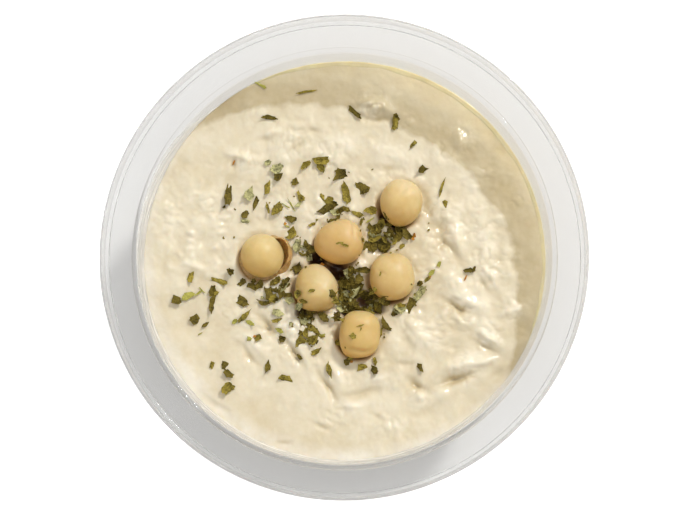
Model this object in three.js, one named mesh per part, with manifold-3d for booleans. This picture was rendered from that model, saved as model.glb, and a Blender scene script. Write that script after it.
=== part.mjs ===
// A round clear pot of hummus, topped in the middle with six cooked chickpeas that are half sunk in it.
// Millimetres, +Z up. The origin is at the middle of the pot's foot, on the surface it stands on.
// The pot is one thin sheet of plastic: a foot, a tapered wall up to a mouth with a small bead,
// a flat land round the mouth and a lip that stands up round the land.
import * as THREE from 'three';
import { mergeVertices } from 'three/addons/utils/BufferGeometryUtils.js';
import Module from 'manifold-3d';

const wasm = await Module();
wasm.setup();

const { degToRad } = THREE.MathUtils;

// Pot
const POT_HEIGHT = 40;
const RIM_RADIUS = 59;
const MOUTH_RADIUS = 50.3;
const SHEET = 0.8;
const TAPER = degToRad(12);
const FOOT_INNER_RADIUS = 34.5;
const PANEL_LIFT = 1;
const FOOT_BEND = 2.7;
const LAND_HEIGHT = 35.8;
const BEAD_RADIUS = 0.65;
const UNDER_ROUND = 0.8;
const LIP_LEAN = degToRad(12);
const LIP_BEND = 0.8;
const SEGMENTS = 56;
const ARC_STEPS = 3;

// Hummus
const FILL_LEVEL = 29.6;
const FILL_TILT = 1.5;
const HIGH_SIDE = degToRad(150);
const SURFACE_RINGS = 17;
const SHOULDER_DROP = 0.5;
const GAP = 0.3;

// Rises and hollows of the surface: middle, length, width, turn in degrees, rise
const FOLDS = [
  { at: [25, 3], length: 11, width: 4, turn: 75, rise: 0.9 },
  { at: [30, -7], length: 7, width: 4, turn: 60, rise: -0.9 },
  { at: [27, -20], length: 12, width: 5, turn: -50, rise: 0.8 },
  { at: [25, -32], length: 10, width: 4, turn: 35, rise: -0.8 },
  { at: [7, 37], length: 10, width: 6, turn: 10, rise: 0.8 },
  { at: [32, 27], length: 22, width: 6, turn: -45, rise: -0.8 },
  { at: [-4, -31], length: 14, width: 4, turn: 80, rise: -0.7 },
  { at: [-23, -25], length: 16, width: 4, turn: -40, rise: -0.6 },
  { at: [-36, 14], length: 12, width: 5, turn: 70, rise: 0.6 },
  { at: [-25, 33], length: 14, width: 6, turn: 35, rise: -0.5 },
];

// Chickpeas: middle in plan, height of the middle over the surface, length, width and height,
// turn of the length in degrees, and the beak's heading and dip in degrees.
// Loose skin stands off the third in two places: heading, dip and how far it stands out
const CHICKPEAS = [
  { at: [13.9, 14.2], lift: 0.6, size: [12.0, 10.7, 10.4], turn: 82, beak: [-100, -15] },
  { at: [-1.4, 4.3], lift: 0.8, size: [11.8, 11.0, 10.6], turn: 8, beak: [192, -12] },
  { at: [-20.1, 1.0], lift: 0.9, size: [10.8, 10.4, 10.6], turn: -60, beak: [-150, -30],
    looseSkin: [[-4, -8, 1.8], [-108, -14, 1.7]] },
  { at: [-7.0, -6.6], lift: 0.6, size: [11.4, 10.4, 10.2], turn: 102, beak: [-65, -20] },
  { at: [11.5, -4.2], lift: 0.7, size: [11.6, 10.9, 10.6], turn: 96, beak: [110, -25] },
  { at: [3.8, -18.2], lift: 0.6, size: [12.2, 10.3, 10.4], turn: 85, beak: [-118, -5] },
];
const PEA_SEGMENTS = 18;
const PEA_RINGS = 10;
const BEAK_RISE = 0.09;
const BEAK_SPREAD = 0.42;
const CLEFT_DEPTH = 0.035;
const CLEFT_SPREAD = 0.2;
const SKIN_SPREAD = 0.5;

const arc = (centre, radius, from, to) =>
  new THREE.EllipseCurve(centre.x, centre.y, radius, radius, from, to, to < from)
    .getPoints(ARC_STEPS);

// Middle of a bend from a level sheet up into a side that leans out, where the side's inner face
// passes through a given point
function bendCentre(onFace, lean, round, level) {
  const inward = new THREE.Vector2(-Math.cos(lean), Math.sin(lean));
  const upward = new THREE.Vector2(Math.sin(lean), Math.cos(lean));
  const start = onFace.clone().addScaledVector(inward, round);
  return start.addScaledVector(upward, (level + round - start.y) / upward.y);
}

const mouthEdge = new THREE.Vector2(MOUTH_RADIUS, LAND_HEIGHT);
const footCentre = bendCentre(mouthEdge, TAPER, FOOT_BEND, SHEET);
const lipTip = new THREE.Vector2(RIM_RADIUS - SHEET / 2, POT_HEIGHT - SHEET / 2);
const lipFace = lipTip.clone().add(
  new THREE.Vector2(-Math.cos(LIP_LEAN), Math.sin(LIP_LEAN)).multiplyScalar(SHEET / 2),
);
const lipCentre = bendCentre(lipFace, LIP_LEAN, LIP_BEND, LAND_HEIGHT);

// Radius of a face of the wall at height z, at a depth into the sheet from the face that touches the food
function wallRadius(z, depth) {
  return MOUTH_RADIUS + depth / Math.cos(TAPER) - (LAND_HEIGHT - z) * Math.tan(TAPER);
}

// The foot and its bend into the wall, at a depth into the sheet
function footFace(depth) {
  return [
    new THREE.Vector2(0, PANEL_LIFT + SHEET - depth),
    new THREE.Vector2(FOOT_INNER_RADIUS - PANEL_LIFT, PANEL_LIFT + SHEET - depth),
    new THREE.Vector2(FOOT_INNER_RADIUS, SHEET - depth),
    ...arc(footCentre, FOOT_BEND + depth, -Math.PI / 2, -TAPER),
  ];
}

function mouthBead() {
  return arc(new THREE.Vector2(MOUTH_RADIUS + BEAD_RADIUS, LAND_HEIGHT), BEAD_RADIUS, Math.PI, 0);
}

// The round under the mouth, between the outside of the wall and the underside of the land
function mouthUnderside() {
  const y = LAND_HEIGHT - SHEET - UNDER_ROUND;
  const x = wallRadius(y, SHEET) + UNDER_ROUND / Math.cos(TAPER);
  return arc(new THREE.Vector2(x, y), UNDER_ROUND, Math.PI - TAPER, Math.PI / 2);
}

function lipBend(depth) {
  return arc(lipCentre, LIP_BEND + depth, -Math.PI / 2, -LIP_LEAN);
}

function potGeometry() {
  const profile = [
    ...footFace(SHEET),
    ...mouthUnderside(),
    ...lipBend(SHEET),
    ...arc(lipTip, SHEET / 2, -LIP_LEAN, Math.PI - LIP_LEAN),
    ...lipBend(0).reverse(),
    ...mouthBead().reverse(),
    ...footFace(0).reverse(),
  ];
  const geometry = new THREE.LatheGeometry(profile, SEGMENTS);
  geometry.rotateX(Math.PI / 2);
  return geometry;
}

// A closed body from its lowest point up through rings of points to its highest point
function bodyOfRings(lowest, rings, highest) {
  const count = rings[0].length;
  const points = [lowest, ...rings.flat(), highest];
  const faces = [];
  const last = points.length - 1;
  for (let i = 0; i < count; i++) {
    const j = (i + 1) % count;
    faces.push(0, 1 + j, 1 + i);
    faces.push(last, last - count + i, last - count + j);
    for (let k = 0; k < rings.length - 1; k++) {
      const low = 1 + k * count;
      const high = low + count;
      faces.push(low + i, low + j, high + j);
      faces.push(low + i, high + j, high + i);
    }
  }
  const geometry = new THREE.BufferGeometry().setFromPoints(points);
  geometry.setIndex(faces);
  return geometry;
}

function ring(count, pointAt) {
  return Array.from({ length: count }, (_, i) => pointAt((2 * Math.PI * i) / count));
}

const bell = (distance) => Math.exp(-distance * distance);

// Height of the hummus surface over the foot
function surfaceHeight(x, y) {
  const uphill = x * Math.cos(HIGH_SIDE) + y * Math.sin(HIGH_SIDE);
  let z = FILL_LEVEL + (FILL_TILT * uphill) / MOUTH_RADIUS;
  for (const fold of FOLDS) {
    const turn = degToRad(fold.turn);
    const dx = x - fold.at[0];
    const dy = y - fold.at[1];
    const along = (dx * Math.cos(turn) + dy * Math.sin(turn)) / (fold.length / 2);
    const across = (dy * Math.cos(turn) - dx * Math.sin(turn)) / (fold.width / 2);
    z += fold.rise * bell(Math.hypot(along, across));
  }
  return z;
}

function hummusGeometry() {
  const [floor, ...lower] = footFace(-GAP);
  const lowerRings = lower.map((p) => ring(SEGMENTS,
    (angle) => new THREE.Vector3(p.x * Math.cos(angle), p.x * Math.sin(angle), p.y)));
  const edgeRadius = wallRadius(FILL_LEVEL - 1, -GAP);
  const surfaceRings = [];
  for (let k = SURFACE_RINGS; k > 0; k--) {
    const radius = (edgeRadius * k) / SURFACE_RINGS;
    const drop = k === SURFACE_RINGS ? SHOULDER_DROP : 0;
    surfaceRings.push(ring(SEGMENTS, (angle) => {
      const x = radius * Math.cos(angle);
      const y = radius * Math.sin(angle);
      return new THREE.Vector3(x, y, surfaceHeight(x, y) - drop);
    }));
  }
  return bodyOfRings(
    new THREE.Vector3(0, 0, floor.y),
    [...lowerRings, ...surfaceRings],
    new THREE.Vector3(0, 0, surfaceHeight(0, 0)),
  );
}

function heading(azimuth, elevation) {
  const around = degToRad(azimuth);
  const up = degToRad(elevation);
  return new THREE.Vector3(
    Math.cos(up) * Math.cos(around),
    Math.cos(up) * Math.sin(around),
    Math.sin(up),
  );
}

// Distance from a chickpea's middle to its skin in one direction: an ovoid with a beak and a cleft
function peaReach(pea, direction) {
  const length = heading(pea.turn, 0);
  const width = heading(pea.turn + 90, 0);
  const beak = heading(...pea.beak);
  const seam = new THREE.Vector3().crossVectors(beak, new THREE.Vector3(0, 0, 1)).normalize();
  const ovoid = 1 / Math.hypot(
    direction.dot(length) / (pea.size[0] / 2),
    direction.dot(width) / (pea.size[1] / 2),
    direction.z / (pea.size[2] / 2),
  );
  const nearBeak = bell(direction.angleTo(beak) / BEAK_SPREAD);
  const onSeam = bell(direction.dot(seam) / CLEFT_SPREAD) * Math.max(0, direction.dot(beak));
  let reach = ovoid * (1 + BEAK_RISE * nearBeak - CLEFT_DEPTH * onSeam * (1 - nearBeak));
  for (const [azimuth, elevation, out] of pea.looseSkin ?? []) {
    reach += out * bell(direction.angleTo(heading(azimuth, elevation)) / SKIN_SPREAD);
  }
  return reach;
}

function peaGeometry(pea, extra) {
  const [x, y] = pea.at;
  const middle = new THREE.Vector3(x, y, surfaceHeight(x, y) + pea.lift);
  const skin = (azimuth, elevation) => {
    const direction = heading(THREE.MathUtils.radToDeg(azimuth), elevation);
    return direction.clone().multiplyScalar(peaReach(pea, direction) + extra).add(middle);
  };
  const rings = [];
  for (let k = 1; k <= PEA_RINGS; k++) {
    const elevation = -90 + (180 * k) / (PEA_RINGS + 1);
    rings.push(ring(PEA_SEGMENTS, (azimuth) => skin(azimuth, elevation)));
  }
  return bodyOfRings(skin(0, -90), rings, skin(0, 90));
}

function toSolid(geometry) {
  const merged = mergeVertices(geometry);
  return new wasm.Manifold(new wasm.Mesh({
    numProp: 3,
    vertProperties: new Float32Array(merged.attributes.position.array),
    triVerts: new Uint32Array(merged.index.array),
  }));
}

function toGeometry(solid) {
  const { vertProperties, triVerts } = solid.getMesh();
  const geometry = new THREE.BufferGeometry();
  geometry.setAttribute('position', new THREE.BufferAttribute(vertProperties, 3));
  geometry.setIndex(new THREE.BufferAttribute(triVerts, 1));
  return geometry;
}

// The hummus with a socket around each chickpea
function socketedHummus() {
  let solid = toSolid(hummusGeometry());
  for (const pea of CHICKPEAS) {
    solid = solid.subtract(toSolid(peaGeometry(pea, GAP)));
  }
  return toGeometry(solid);
}

function addPiece(group, name, geometry, look) {
  const mesh = new THREE.Mesh(geometry, new THREE.MeshStandardMaterial(look));
  mesh.name = name;
  group.add(mesh);
}

const pot = new THREE.Group();
addPiece(pot, 'tub', potGeometry(), {
  color: 0xf1f3f1, roughness: 0.08, metalness: 0, transparent: true, opacity: 0.3,
});
addPiece(pot, 'hummus', socketedHummus(), { color: 0xe8dcb9, roughness: 0.45, metalness: 0 });
CHICKPEAS.forEach((pea, i) => {
  addPiece(pot, `chickpea_${i + 1}`, peaGeometry(pea, 0), {
    color: 0xdab978, roughness: 0.4, metalness: 0,
  });
});

export default pot;
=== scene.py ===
"""Pot of hummus: a clear pot with a wide land and a standing lip, hummus up to the upper part of its
wall, six cooked chickpeas half sunk in the middle and dried parsley scattered over them.
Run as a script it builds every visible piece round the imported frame. Sizes inside are millimetres."""

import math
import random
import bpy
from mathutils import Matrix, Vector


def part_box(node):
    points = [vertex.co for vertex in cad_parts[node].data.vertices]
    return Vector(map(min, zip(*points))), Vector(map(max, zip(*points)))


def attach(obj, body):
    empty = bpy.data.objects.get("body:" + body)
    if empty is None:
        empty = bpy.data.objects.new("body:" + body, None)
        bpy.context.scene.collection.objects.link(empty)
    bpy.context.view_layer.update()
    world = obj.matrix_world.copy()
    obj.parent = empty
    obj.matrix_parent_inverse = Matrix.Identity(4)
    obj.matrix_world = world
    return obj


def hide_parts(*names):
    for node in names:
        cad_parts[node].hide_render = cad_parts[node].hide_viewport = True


bl_info = {
    "name": "Pot of Hummus",
    "version": (1, 0, 0),
    "blender": (4, 5, 0),
    "location": "View3D > Sidebar > Hummus",
    "description": "Clear pot of hummus with chickpeas and dried parsley",
    "category": "Object",
}

import bpy
import numpy as np
from bpy.props import FloatProperty, FloatVectorProperty, IntProperty, PointerProperty
from mathutils import Matrix, Vector, noise
from mathutils.bvhtree import BVHTree

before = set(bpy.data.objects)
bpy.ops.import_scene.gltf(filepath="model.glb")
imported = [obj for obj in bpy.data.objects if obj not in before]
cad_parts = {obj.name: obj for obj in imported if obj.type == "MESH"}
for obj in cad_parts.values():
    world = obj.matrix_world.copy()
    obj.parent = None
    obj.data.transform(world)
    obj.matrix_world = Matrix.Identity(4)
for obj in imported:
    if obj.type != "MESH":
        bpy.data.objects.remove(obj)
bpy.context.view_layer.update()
MM = 0.001
BODY = "root"
RIM_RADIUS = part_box("tub")[1].x / MM
POT_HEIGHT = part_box("tub")[1].z / MM

# The pot's section. The land has faint moulded rings, each with its radius and height
MOUTH_RADIUS = 50.3
LAND_HEIGHT = POT_HEIGHT - 4.2
TAPER = math.radians(12)
FOOT_RADIUS = 34.5
PANEL_LIFT = 1.0
FOOT_BEND = 2.7
BEAD_RADIUS = 0.65
UNDER_ROUND = 0.8
LIP_LEAN = math.radians(12)
LIP_BEND = 0.8
LAND_SPAN = (57.2, 51.6)
LAND_RINGS = ((53.0, 0.02), (55.6, 0.03))
LAND_RING_WIDTH = 0.3
BEND_STEPS = 8
SHARP_BEND = math.radians(50)
POT_SEGMENTS = 240
INTO_WALL = 0.15

# The plastic thins to this alpha between these distances inside the rim's edge
EDGE_ALPHA = 0.62
EDGE_SPAN = (2.2, 0.3)

# Shader nodes: distance between them, and the part of a vector that lies level
NODE_STEP = 180
LEVEL_PART = (1.0, 1.0, 0.0)

# Rises and hollows of the hummus: middle x and y, length, width, turn in degrees, rise
FOLDS = (
    (7.2, 37.7, 8.0, 3.0, -15, 1.3), (4.0, 36.2, 5.0, 2.0, 10, 0.5), (6.0, 35.0, 8.0, 2.0, -8, -0.6),
    (28.6, 28.4, 4.0, 3.0, 20, 0.8), (31.0, 21.5, 4.0, 3.0, -60, 0.4), (26.5, 24.0, 6.0, 2.5, -50, 0.5),
    (26.7, 5.8, 10.0, 2.8, -65, 1.1), (24.4, 5.2, 13.0, 2.4, -60, -1.3),
    (20.3, 12.0, 9.0, 2.4, -75, -0.5), (25.0, -4.0, 13.0, 5.0, -40, 0.8),
    (30.0, -9.4, 9.0, 3.0, -30, 0.9), (27.4, -11.1, 6.5, 2.1, -30, -2.0),
    (27.6, -14.4, 2.4, 2.0, 0, 0.7), (31.0, -15.5, 2.6, 1.9, 20, 0.7),
    (35.4, -19.2, 7.0, 2.2, -28, 0.8), (34.0, -21.4, 6.5, 1.9, -28, -1.1),
    (28.0, -25.6, 9.0, 3.6, 15, 1.4), (27.2, -28.6, 7.5, 2.0, 15, -2.2),
    (34.5, -24.4, 5.0, 1.8, 8, 0.7), (17.5, -30.5, 5.0, 1.8, -25, -1.4),
    (18.8, -33.4, 2.4, 2.3, 0, 0.8), (15.5, -25.3, 5.5, 1.7, 0, -0.5),
    (18.5, -18.3, 11.0, 3.2, -50, 0.7), (16.4, -20.6, 10.0, 2.2, -50, -0.4),
    (4.8, -32.4, 10.0, 2.4, 10, -0.7), (8.0, -29.0, 8.0, 2.0, 12, 0.5), (2.5, -35.4, 7.0, 2.4, 4, 0.5),
    (40.3, -12.2, 5.5, 1.8, 15, 0.7), (35.3, -3.5, 5.5, 2.0, -60, 0.8),
    (33.3, -5.4, 5.0, 1.8, -60, -1.1), (34.5, 4.0, 5.0, 2.0, 70, 0.5),
    (37.0, -28.0, 6.0, 2.5, 40, -0.4), (23.0, -35.5, 9.0, 3.0, 25, -0.4),
    (-23.2, -23.6, 9.0, 2.0, -47, -0.8), (-21.0, -21.4, 8.0, 2.6, -47, 0.5),
    (-18.6, -16.4, 7.0, 2.2, -50, -1.7), (-12.4, -22.6, 8.0, 2.2, -55, -1.6),
    (-4.8, -30.4, 10.0, 2.4, -52, -1.5), (-7.4, -28.0, 10.0, 3.2, -55, 0.6),
    (-2.0, -28.0, 7.0, 3.0, -60, 0.6), (-5.1, -40.8, 4.0, 1.4, -30, -0.4),
    (-31.0, -36.0, 8.0, 2.0, -38, -0.4), (-14.7, -44.4, 3.0, 1.4, 10, -0.4),
    (12.0, -41.0, 5.0, 2.6, 20, 0.4), (8.6, -38.6, 4.0, 1.6, -20, -0.4),
    (-25.4, 25.4, 6.5, 2.2, -15, 0.9), (-27.2, 23.8, 2.6, 1.0, 70, -0.9),
    (-17.5, 31.0, 3.6, 2.2, 20, 0.6), (-19.6, 29.6, 4.0, 1.8, -10, -0.5),
    (-7.5, 32.1, 3.2, 1.8, -10, -0.5), (-12.3, 27.4, 3.4, 1.6, 30, -0.5),
    (-2.0, 28.8, 8.0, 4.0, -20, 0.5), (-38.0, 9.0, 9.0, 3.0, 70, -0.4),
    (-34.0, 12.6, 3.2, 2.2, 30, 0.5), (-37.6, 6.4, 3.0, 2.0, -30, 0.5), (-42.6, 2.0, 3.4, 2.0, 60, 0.4),
    (-31.4, 6.0, 3.4, 2.0, 10, 0.4), (-36.0, -2.0, 7.0, 2.2, -35, 0.5),
    (-44.4, -1.6, 5.0, 2.2, 80, -0.3), (-30.0, 18.0, 5.0, 2.0, 60, -0.4),
    (24.0, 37.0, 4.0, 2.4, -20, 0.2), (12.0, 26.0, 10.0, 5.0, -25, 0.6),
    (10.0, 22.4, 8.0, 2.2, -10, -0.4), (-1.0, -3.4, 4.4, 3.6, 0, -3.2),
    (-7.2, -0.2, 3.4, 2.6, 20, -2.6), (4.8, -8.6, 5.0, 4.0, -30, -1.6), (7.6, 5.6, 7.0, 4.0, -60, -0.9),
    (3.8, -1.0, 4.0, 2.6, -50, 0.9), (-13.6, -4.2, 2.6, 2.0, 40, 1.4), (-2.6, -13.6, 5.4, 1.6, 5, 0.9),
    (-14.6, -2.0, 3.0, 2.4, 60, -0.8), (-9.6, -14.6, 4.0, 3.0, -30, -0.8),
)
# A hollow as deep as this or deeper is a crevice with sharp sides. One side of a fold is steeper
CREVICE = -0.75
STEEP_SIDE = 1.3
GENTLE_SIDE = 0.9

# Warps that bend shapes: distance moved, size of the noise, its layers for x and y
FOLD_WARP = (1.1, 5.0, (1.7, 4.2))
CURD_WARP = (0.5, 1.3, (14.0, 15.0))

# Relief all over: each noise has the size of its features and its layer, and the waves their heights first
BROAD_WAVES = ((0.30, 13.0, 0.3), (0.14, 6.0, 2.6))
LUMPS = (3.6, 5.1)
SMALL_LUMPS = (1.9, 7.7)
GRAINS = (0.95, 9.4)
CURDLED_SPAN = (8.0, 24.0)
SMOOTH_BY_WALL = (40.0, 48.0)
SPOONED_REACH = 26.0
KNOBBLY_X = -37.0
KNOBBLY_Y = 8.0
KNOBBLY_LENGTH = 12.0
KNOBBLY_WIDTH = 14.0

# Gap round each chickpea: depth on the lit side, what the shaded side adds, and its width
MOAT_DEPTH = 0.25
SHADED_MOAT_DEPTH = 1.4
MOAT_WIDTH = 0.8

# Painted shadow: the hummus by the wall is darkened in crescents where a cast shadow falls. Each has the
# heading of its widest place, how far its circle stands off the pot's axis, and its radius. The span runs
# from inside its edge to beyond
CRESCENT_SHADOWS = ((60, 23.8, 59.0), (9, 60.0, 101.2))
CRESCENT_SHADOW_STOPS = (0.10, 0.21, 0.50, 0.66, 0.82, 1.0)
CRESCENT_SHADOW_TINTS = (
    (1.0, 1.0, 1.0), (0.70, 0.65, 0.535), (0.69, 0.64, 0.525), (0.73, 0.69, 0.585), (0.765, 0.735, 0.655),
    (0.765, 0.725, 0.62),
)
CRESCENT_SHADOW_SPAN = (-2.0, 10.0)
CRESCENT_SHADOW_WOBBLE = 3.2
WOBBLE_SIZE = 5.0
HOLLOW_REACH = 1.5

# Heading and dip of the shaded side, and heading of the side where the hummus stands higher
SHADE_HEADING = 237
SHADE_DIP = -12
HIGH_SIDE = 150

# Tints of the hummus by place, painted shade, shadow and highlight among them, and circles (x, y, radius)
# where two of them begin
NO_TINT = (1.0, 1.0, 1.0)
# Painted shade in hollows and painted highlight on rises
HOLLOW_SHADE_TINT = (0.80, 0.735, 0.61)
RIDGE_HIGHLIGHT_TINT = (1.06, 1.07, 1.10)
# The hummus is darker towards the middle
DARKER_MIDDLE = (14.0, 1.0, 0.0)
MIDDLE_TINT = (0.965, 0.945, 0.905)
# Painted shadow on the shaded side of each chickpea
PEA_SHADOW_SHIFT = 1.5
PEA_SHADOW_INSET = 0.7
PEA_SHADOW_TINT = (0.50, 0.33, 0.15)
# Painted shade in the pits between the chickpeas
PIT_SHADE_TINT = (0.13, 0.058, 0.014)
WHIPPED_CIRCLE = (1.5, 2.598, 47.6)
WHIPPED_TINT = (1.07, 1.12, 1.28)

# Tints of chickpea skin as painted shade on its shaded side, on the torn skin too, and painted light on its
# lit side
PEA_SHADE_TINT = (0.95, 0.79, 0.55)
TORN_SKIN_SHADE_TINT = (0.60, 0.46, 0.30)
PEA_LIGHT_TINT = (0.96, 1.04, 1.32)

# Gaps between the chickpeas, sunk and darkened with painted shade: middle x and y, radius. No flakes fall in
# the first few
OPEN_PITS = 4
PIT_DEPTH = 1.5
PITS = (
    (-7.0, 0.3, 2.2), (-2.0, -2.7, 2.6), (4.5, -9.7, 2.3), (7.8, -11.6, 1.9), (9.0, 3.8, 2.1),
    (12.7, 8.8, 1.4), (9.5, 10.6, 1.3), (-10.6, -12.9, 1.4), (-11.6, -2.3, 1.3), (0.4, -12.6, 1.4),
    (-0.6, -6.2, 1.4),
)
# Crumbly patches: middle x and y, spread, height of the crumbs
CURDS = (
    (27.5, -13.0, 3.4, 0.9), (35.0, -1.0, 4.4, 0.7), (41.0, -12.0, 2.6, 0.7), (35.0, -18.5, 3.4, 0.7),
    (28.0, -26.6, 3.2, 0.8), (18.0, -32.0, 2.4, 0.7), (29.5, 29.5, 3.0, 0.5), (23.5, 26.5, 2.6, 0.5),
    (15.2, 33.8, 1.6, 0.5), (7.0, 37.4, 3.8, 0.9), (34.2, 21.5, 1.5, 0.5), (42.3, 14.6, 1.8, 0.4),
    (-13.0, 30.0, 5.0, 0.5), (-23.5, 36.0, 3.0, 0.5), (-24.0, 24.6, 3.4, 0.7), (-33.5, 13.6, 3.0, 0.6),
    (-42.0, 10.0, 4.0, 0.4), (12.0, -41.0, 3.6, 0.4), (-2.5, -39.5, 4.0, 0.4), (2.4, -3.6, 2.2, 0.8),
    (24.0, 6.0, 5.0, 0.5), (22.0, -18.0, 4.6, 0.5), (-13.0, -16.5, 4.6, 0.6), (33.0, 8.0, 5.0, 0.4),
    (13.0, 17.5, 5.0, 0.6), (-4.0, 25.5, 5.0, 0.5), (22.0, 12.0, 4.0, 0.5), (-16.0, 17.0, 5.0, 0.4),
    (18.5, -3.0, 3.0, 0.5), (-6.0, 9.0, 4.0, 0.4), (-26.0, -14.0, 5.0, 0.3), (16.0, -14.0, 3.0, 0.5),
)
CRUMBS = (2.9, 16.0)
FINE_CRUMBS = (1.3, 17.0)
CRUMB_HEIGHT = 1.6

# Soft lumps: their number, seed, distance from the middle, radii, and rises as shares of the radius
SOFT_LUMPS = 190
LUMP_SEED = 29
LUMP_REACH = 48.0
LUMP_RADII = (0.7, 2.2)
LUMP_RISES = (0.05, 0.11)

# Chickpeas: node number, middle against its box's middle, (length, width, height), turn, squareness,
# narrowing, heading and dip of its beak, tint, and marks on the skin, each with its heading, height angle,
# length, width, turn and rise
PEAS = (
    (1, (-0.2, 0.15), (11.1, 10.3, 10.4), 82, 2.15, -0.04, (-100, -15), (1.05, 1.05, 1.13),
     ((70, 50, 5.6, 1.3, 78, -0.2), (30, 52, 5.0, 3.4, 80, 0.16), (150, 30, 4.4, 2.4, 60, -0.22),
      (-70, 40, 3.6, 1.6, 20, -0.16), (100, 18, 3.2, 1.6, 0, 0.2))),
    (2, (0.25, 0.0), (11.8, 11.0, 10.6), 8, 2.1, -0.09, (192, -12), (0.99, 0.90, 0.85),
     ((38, 40, 4.4, 1.0, -35, -0.5), (52, 34, 4.2, 1.4, -30, 0.36), (10, 25, 3.0, 1.3, 60, -0.3),
      (-40, 55, 5.0, 2.2, 30, 0.12), (170, 45, 3.0, 2.6, 0, -0.12))),
    (3, (-0.85, 0.6), (10.8, 10.4, 10.6), -60, 2.0, 0.0, (-150, -30), (1.0, 1.0, 0.97),
     ((-60, 42, 4.0, 2.6, 20, 0.1), (120, 30, 4.0, 2.2, 30, -0.12))),
    (4, (0.0, 0.0), (11.4, 10.4, 10.2), 104, 2.35, 0.19, (-65, -20), (0.95, 0.965, 1.02),
     ((45, 62, 6.4, 3.8, -45, -0.4), (150, 72, 6.0, 1.3, -62, 0.1), (-10, 40, 3.4, 1.8, 70, -0.24),
      (-85, 62, 2.6, 1.6, 0, 0.14))),
    (5, (0.0, 0.0), (11.6, 10.9, 10.6), 96, 2.25, 0.04, (110, -25), (1.0, 0.985, 1.0),
     ((170, 62, 2.2, 0.9, 70, -0.16), (-70, 35, 5.0, 1.8, 15, 0.12), (20, 45, 5.0, 2.6, 60, -0.12))),
    (6, (-0.1, 0.2), (11.3, 9.9, 10.4), 85, 2.5, 0.0, (-118, -5), (0.99, 0.945, 0.85),
     ((-92, 38, 5.6, 1.2, -8, -0.4), (-88, 26, 6.0, 1.8, -8, 0.3), (110, 60, 4.0, 2.0, 10, 0.14),
      (10, 50, 5.0, 1.8, 85, -0.16), (185, 45, 4.2, 2.0, 80, 0.14))),
)
BEAK_RISE = 0.09
BEAK_SPREAD = 0.42
RIPPLE_HEIGHT = 0.045
RIPPLE_SIZE = 2.2
PEA_SEGMENTS = 96
PEA_RINGS = 60

# Torn skin round the third chickpea: heading, radius and height of its upper edge, radius at its foot,
# all from the chickpea's middle
SKIN_OUTLINE = (
    (-180, 5.05, -0.6, 5.9), (-150, 5.1, -0.8, 6.5), (-120, 5.1, -1.0, 6.8), (-90, 5.1, -1.2, 6.5),
    (-60, 5.1, -1.0, 6.2), (-35, 5.5, 0.0, 6.5), (-18, 6.2, 1.1, 6.8), (0, 6.5, 1.8, 7.0),
    (15, 6.6, 2.3, 7.0), (30, 6.5, 2.5, 6.9), (42, 6.0, 2.2, 6.4), (52, 5.2, 1.2, 5.8),
    (70, 5.05, -0.8, 5.5), (110, 5.05, -2.0, 5.4), (150, 5.05, -1.4, 5.6), (180, 5.05, -0.6, 5.9),
)

# Line of oil and film of hummus on the wall: headings in degrees between which they run, and sections.
# The oil's gives shares of its width and lifts, the film's shares of its reach and distances off the wall
NOISE_RADIUS = 50.0
OIL_SPAN = (-34.0, 128.0)
OIL_SECTION = ((1.0, -0.2), (0.9, 0.03), (0.6, 0.1), (0.2, 0.25), (-0.1, 0.4), (-0.12, -0.4))
FILM_SPAN = (128.0, 322.0)
FILM_SECTION = ((0.0, 0.3), (0.1, 0.12), (0.4, 0.1), (0.9, 0.1), (1.0, -0.12))
FILM_REACH = 5.6
FILM_FOOT = 0.35

# The film's cover goes from one value to the other between two heights over the level, in long streaks
FILM_FADE = (0.5, 6.0)
FILM_COVER = (1.4, 0.55)
STREAK_SIZE = 6.0
STREAK_STRETCH = (1.0, 1.0, 6.0)

# Flakes: half their thickness, their rings of points, and least and greatest crease, dish and twist, which
# grow with the width up to a limit. A flake rests on the ground as far out as its footing
LEAF_HALF = 0.06
FLAKE_RINGS = (0.4, 0.75, 1.0)
CREASES = (-0.6, 0.85)
DISHES = (-0.15, 0.6)
TWISTS = (-0.4, 0.4)
MOST_BENT_WIDTH = 2.0
FOOTING = 0.7

# How flakes lie: lift, greatest tilt in degrees, growth over the listed size
LAID = (0.3, 22.0, 1.18)
LAID_ON_PEAS = (0.06, 4.0, 1.0)
LAID_FRESH = (0.25, 16.0, 1.0)
LAID_BITS = (0.1, 10.0, 1.0)
HEAP_TILT = 40.0
HEAP_LENGTHS = (1.7, 4.0)

# Specks: sizes, middle of where they lie and how far they reach from it, lift and greatest tilt
SPECK_SIZES = (0.35, 0.9)
SPECKS_X = -4.0
SPECKS_Y = 1.0
SPECKS_REACH = 24.0
SPECK_LIFT = 0.08
SPECK_TILT = 25.0

# No flake is dropped within these shares of a pit's radius and of a chickpea's width
BARE_PIT = 0.75
BARE_CHICKPEA = 0.47
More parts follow.
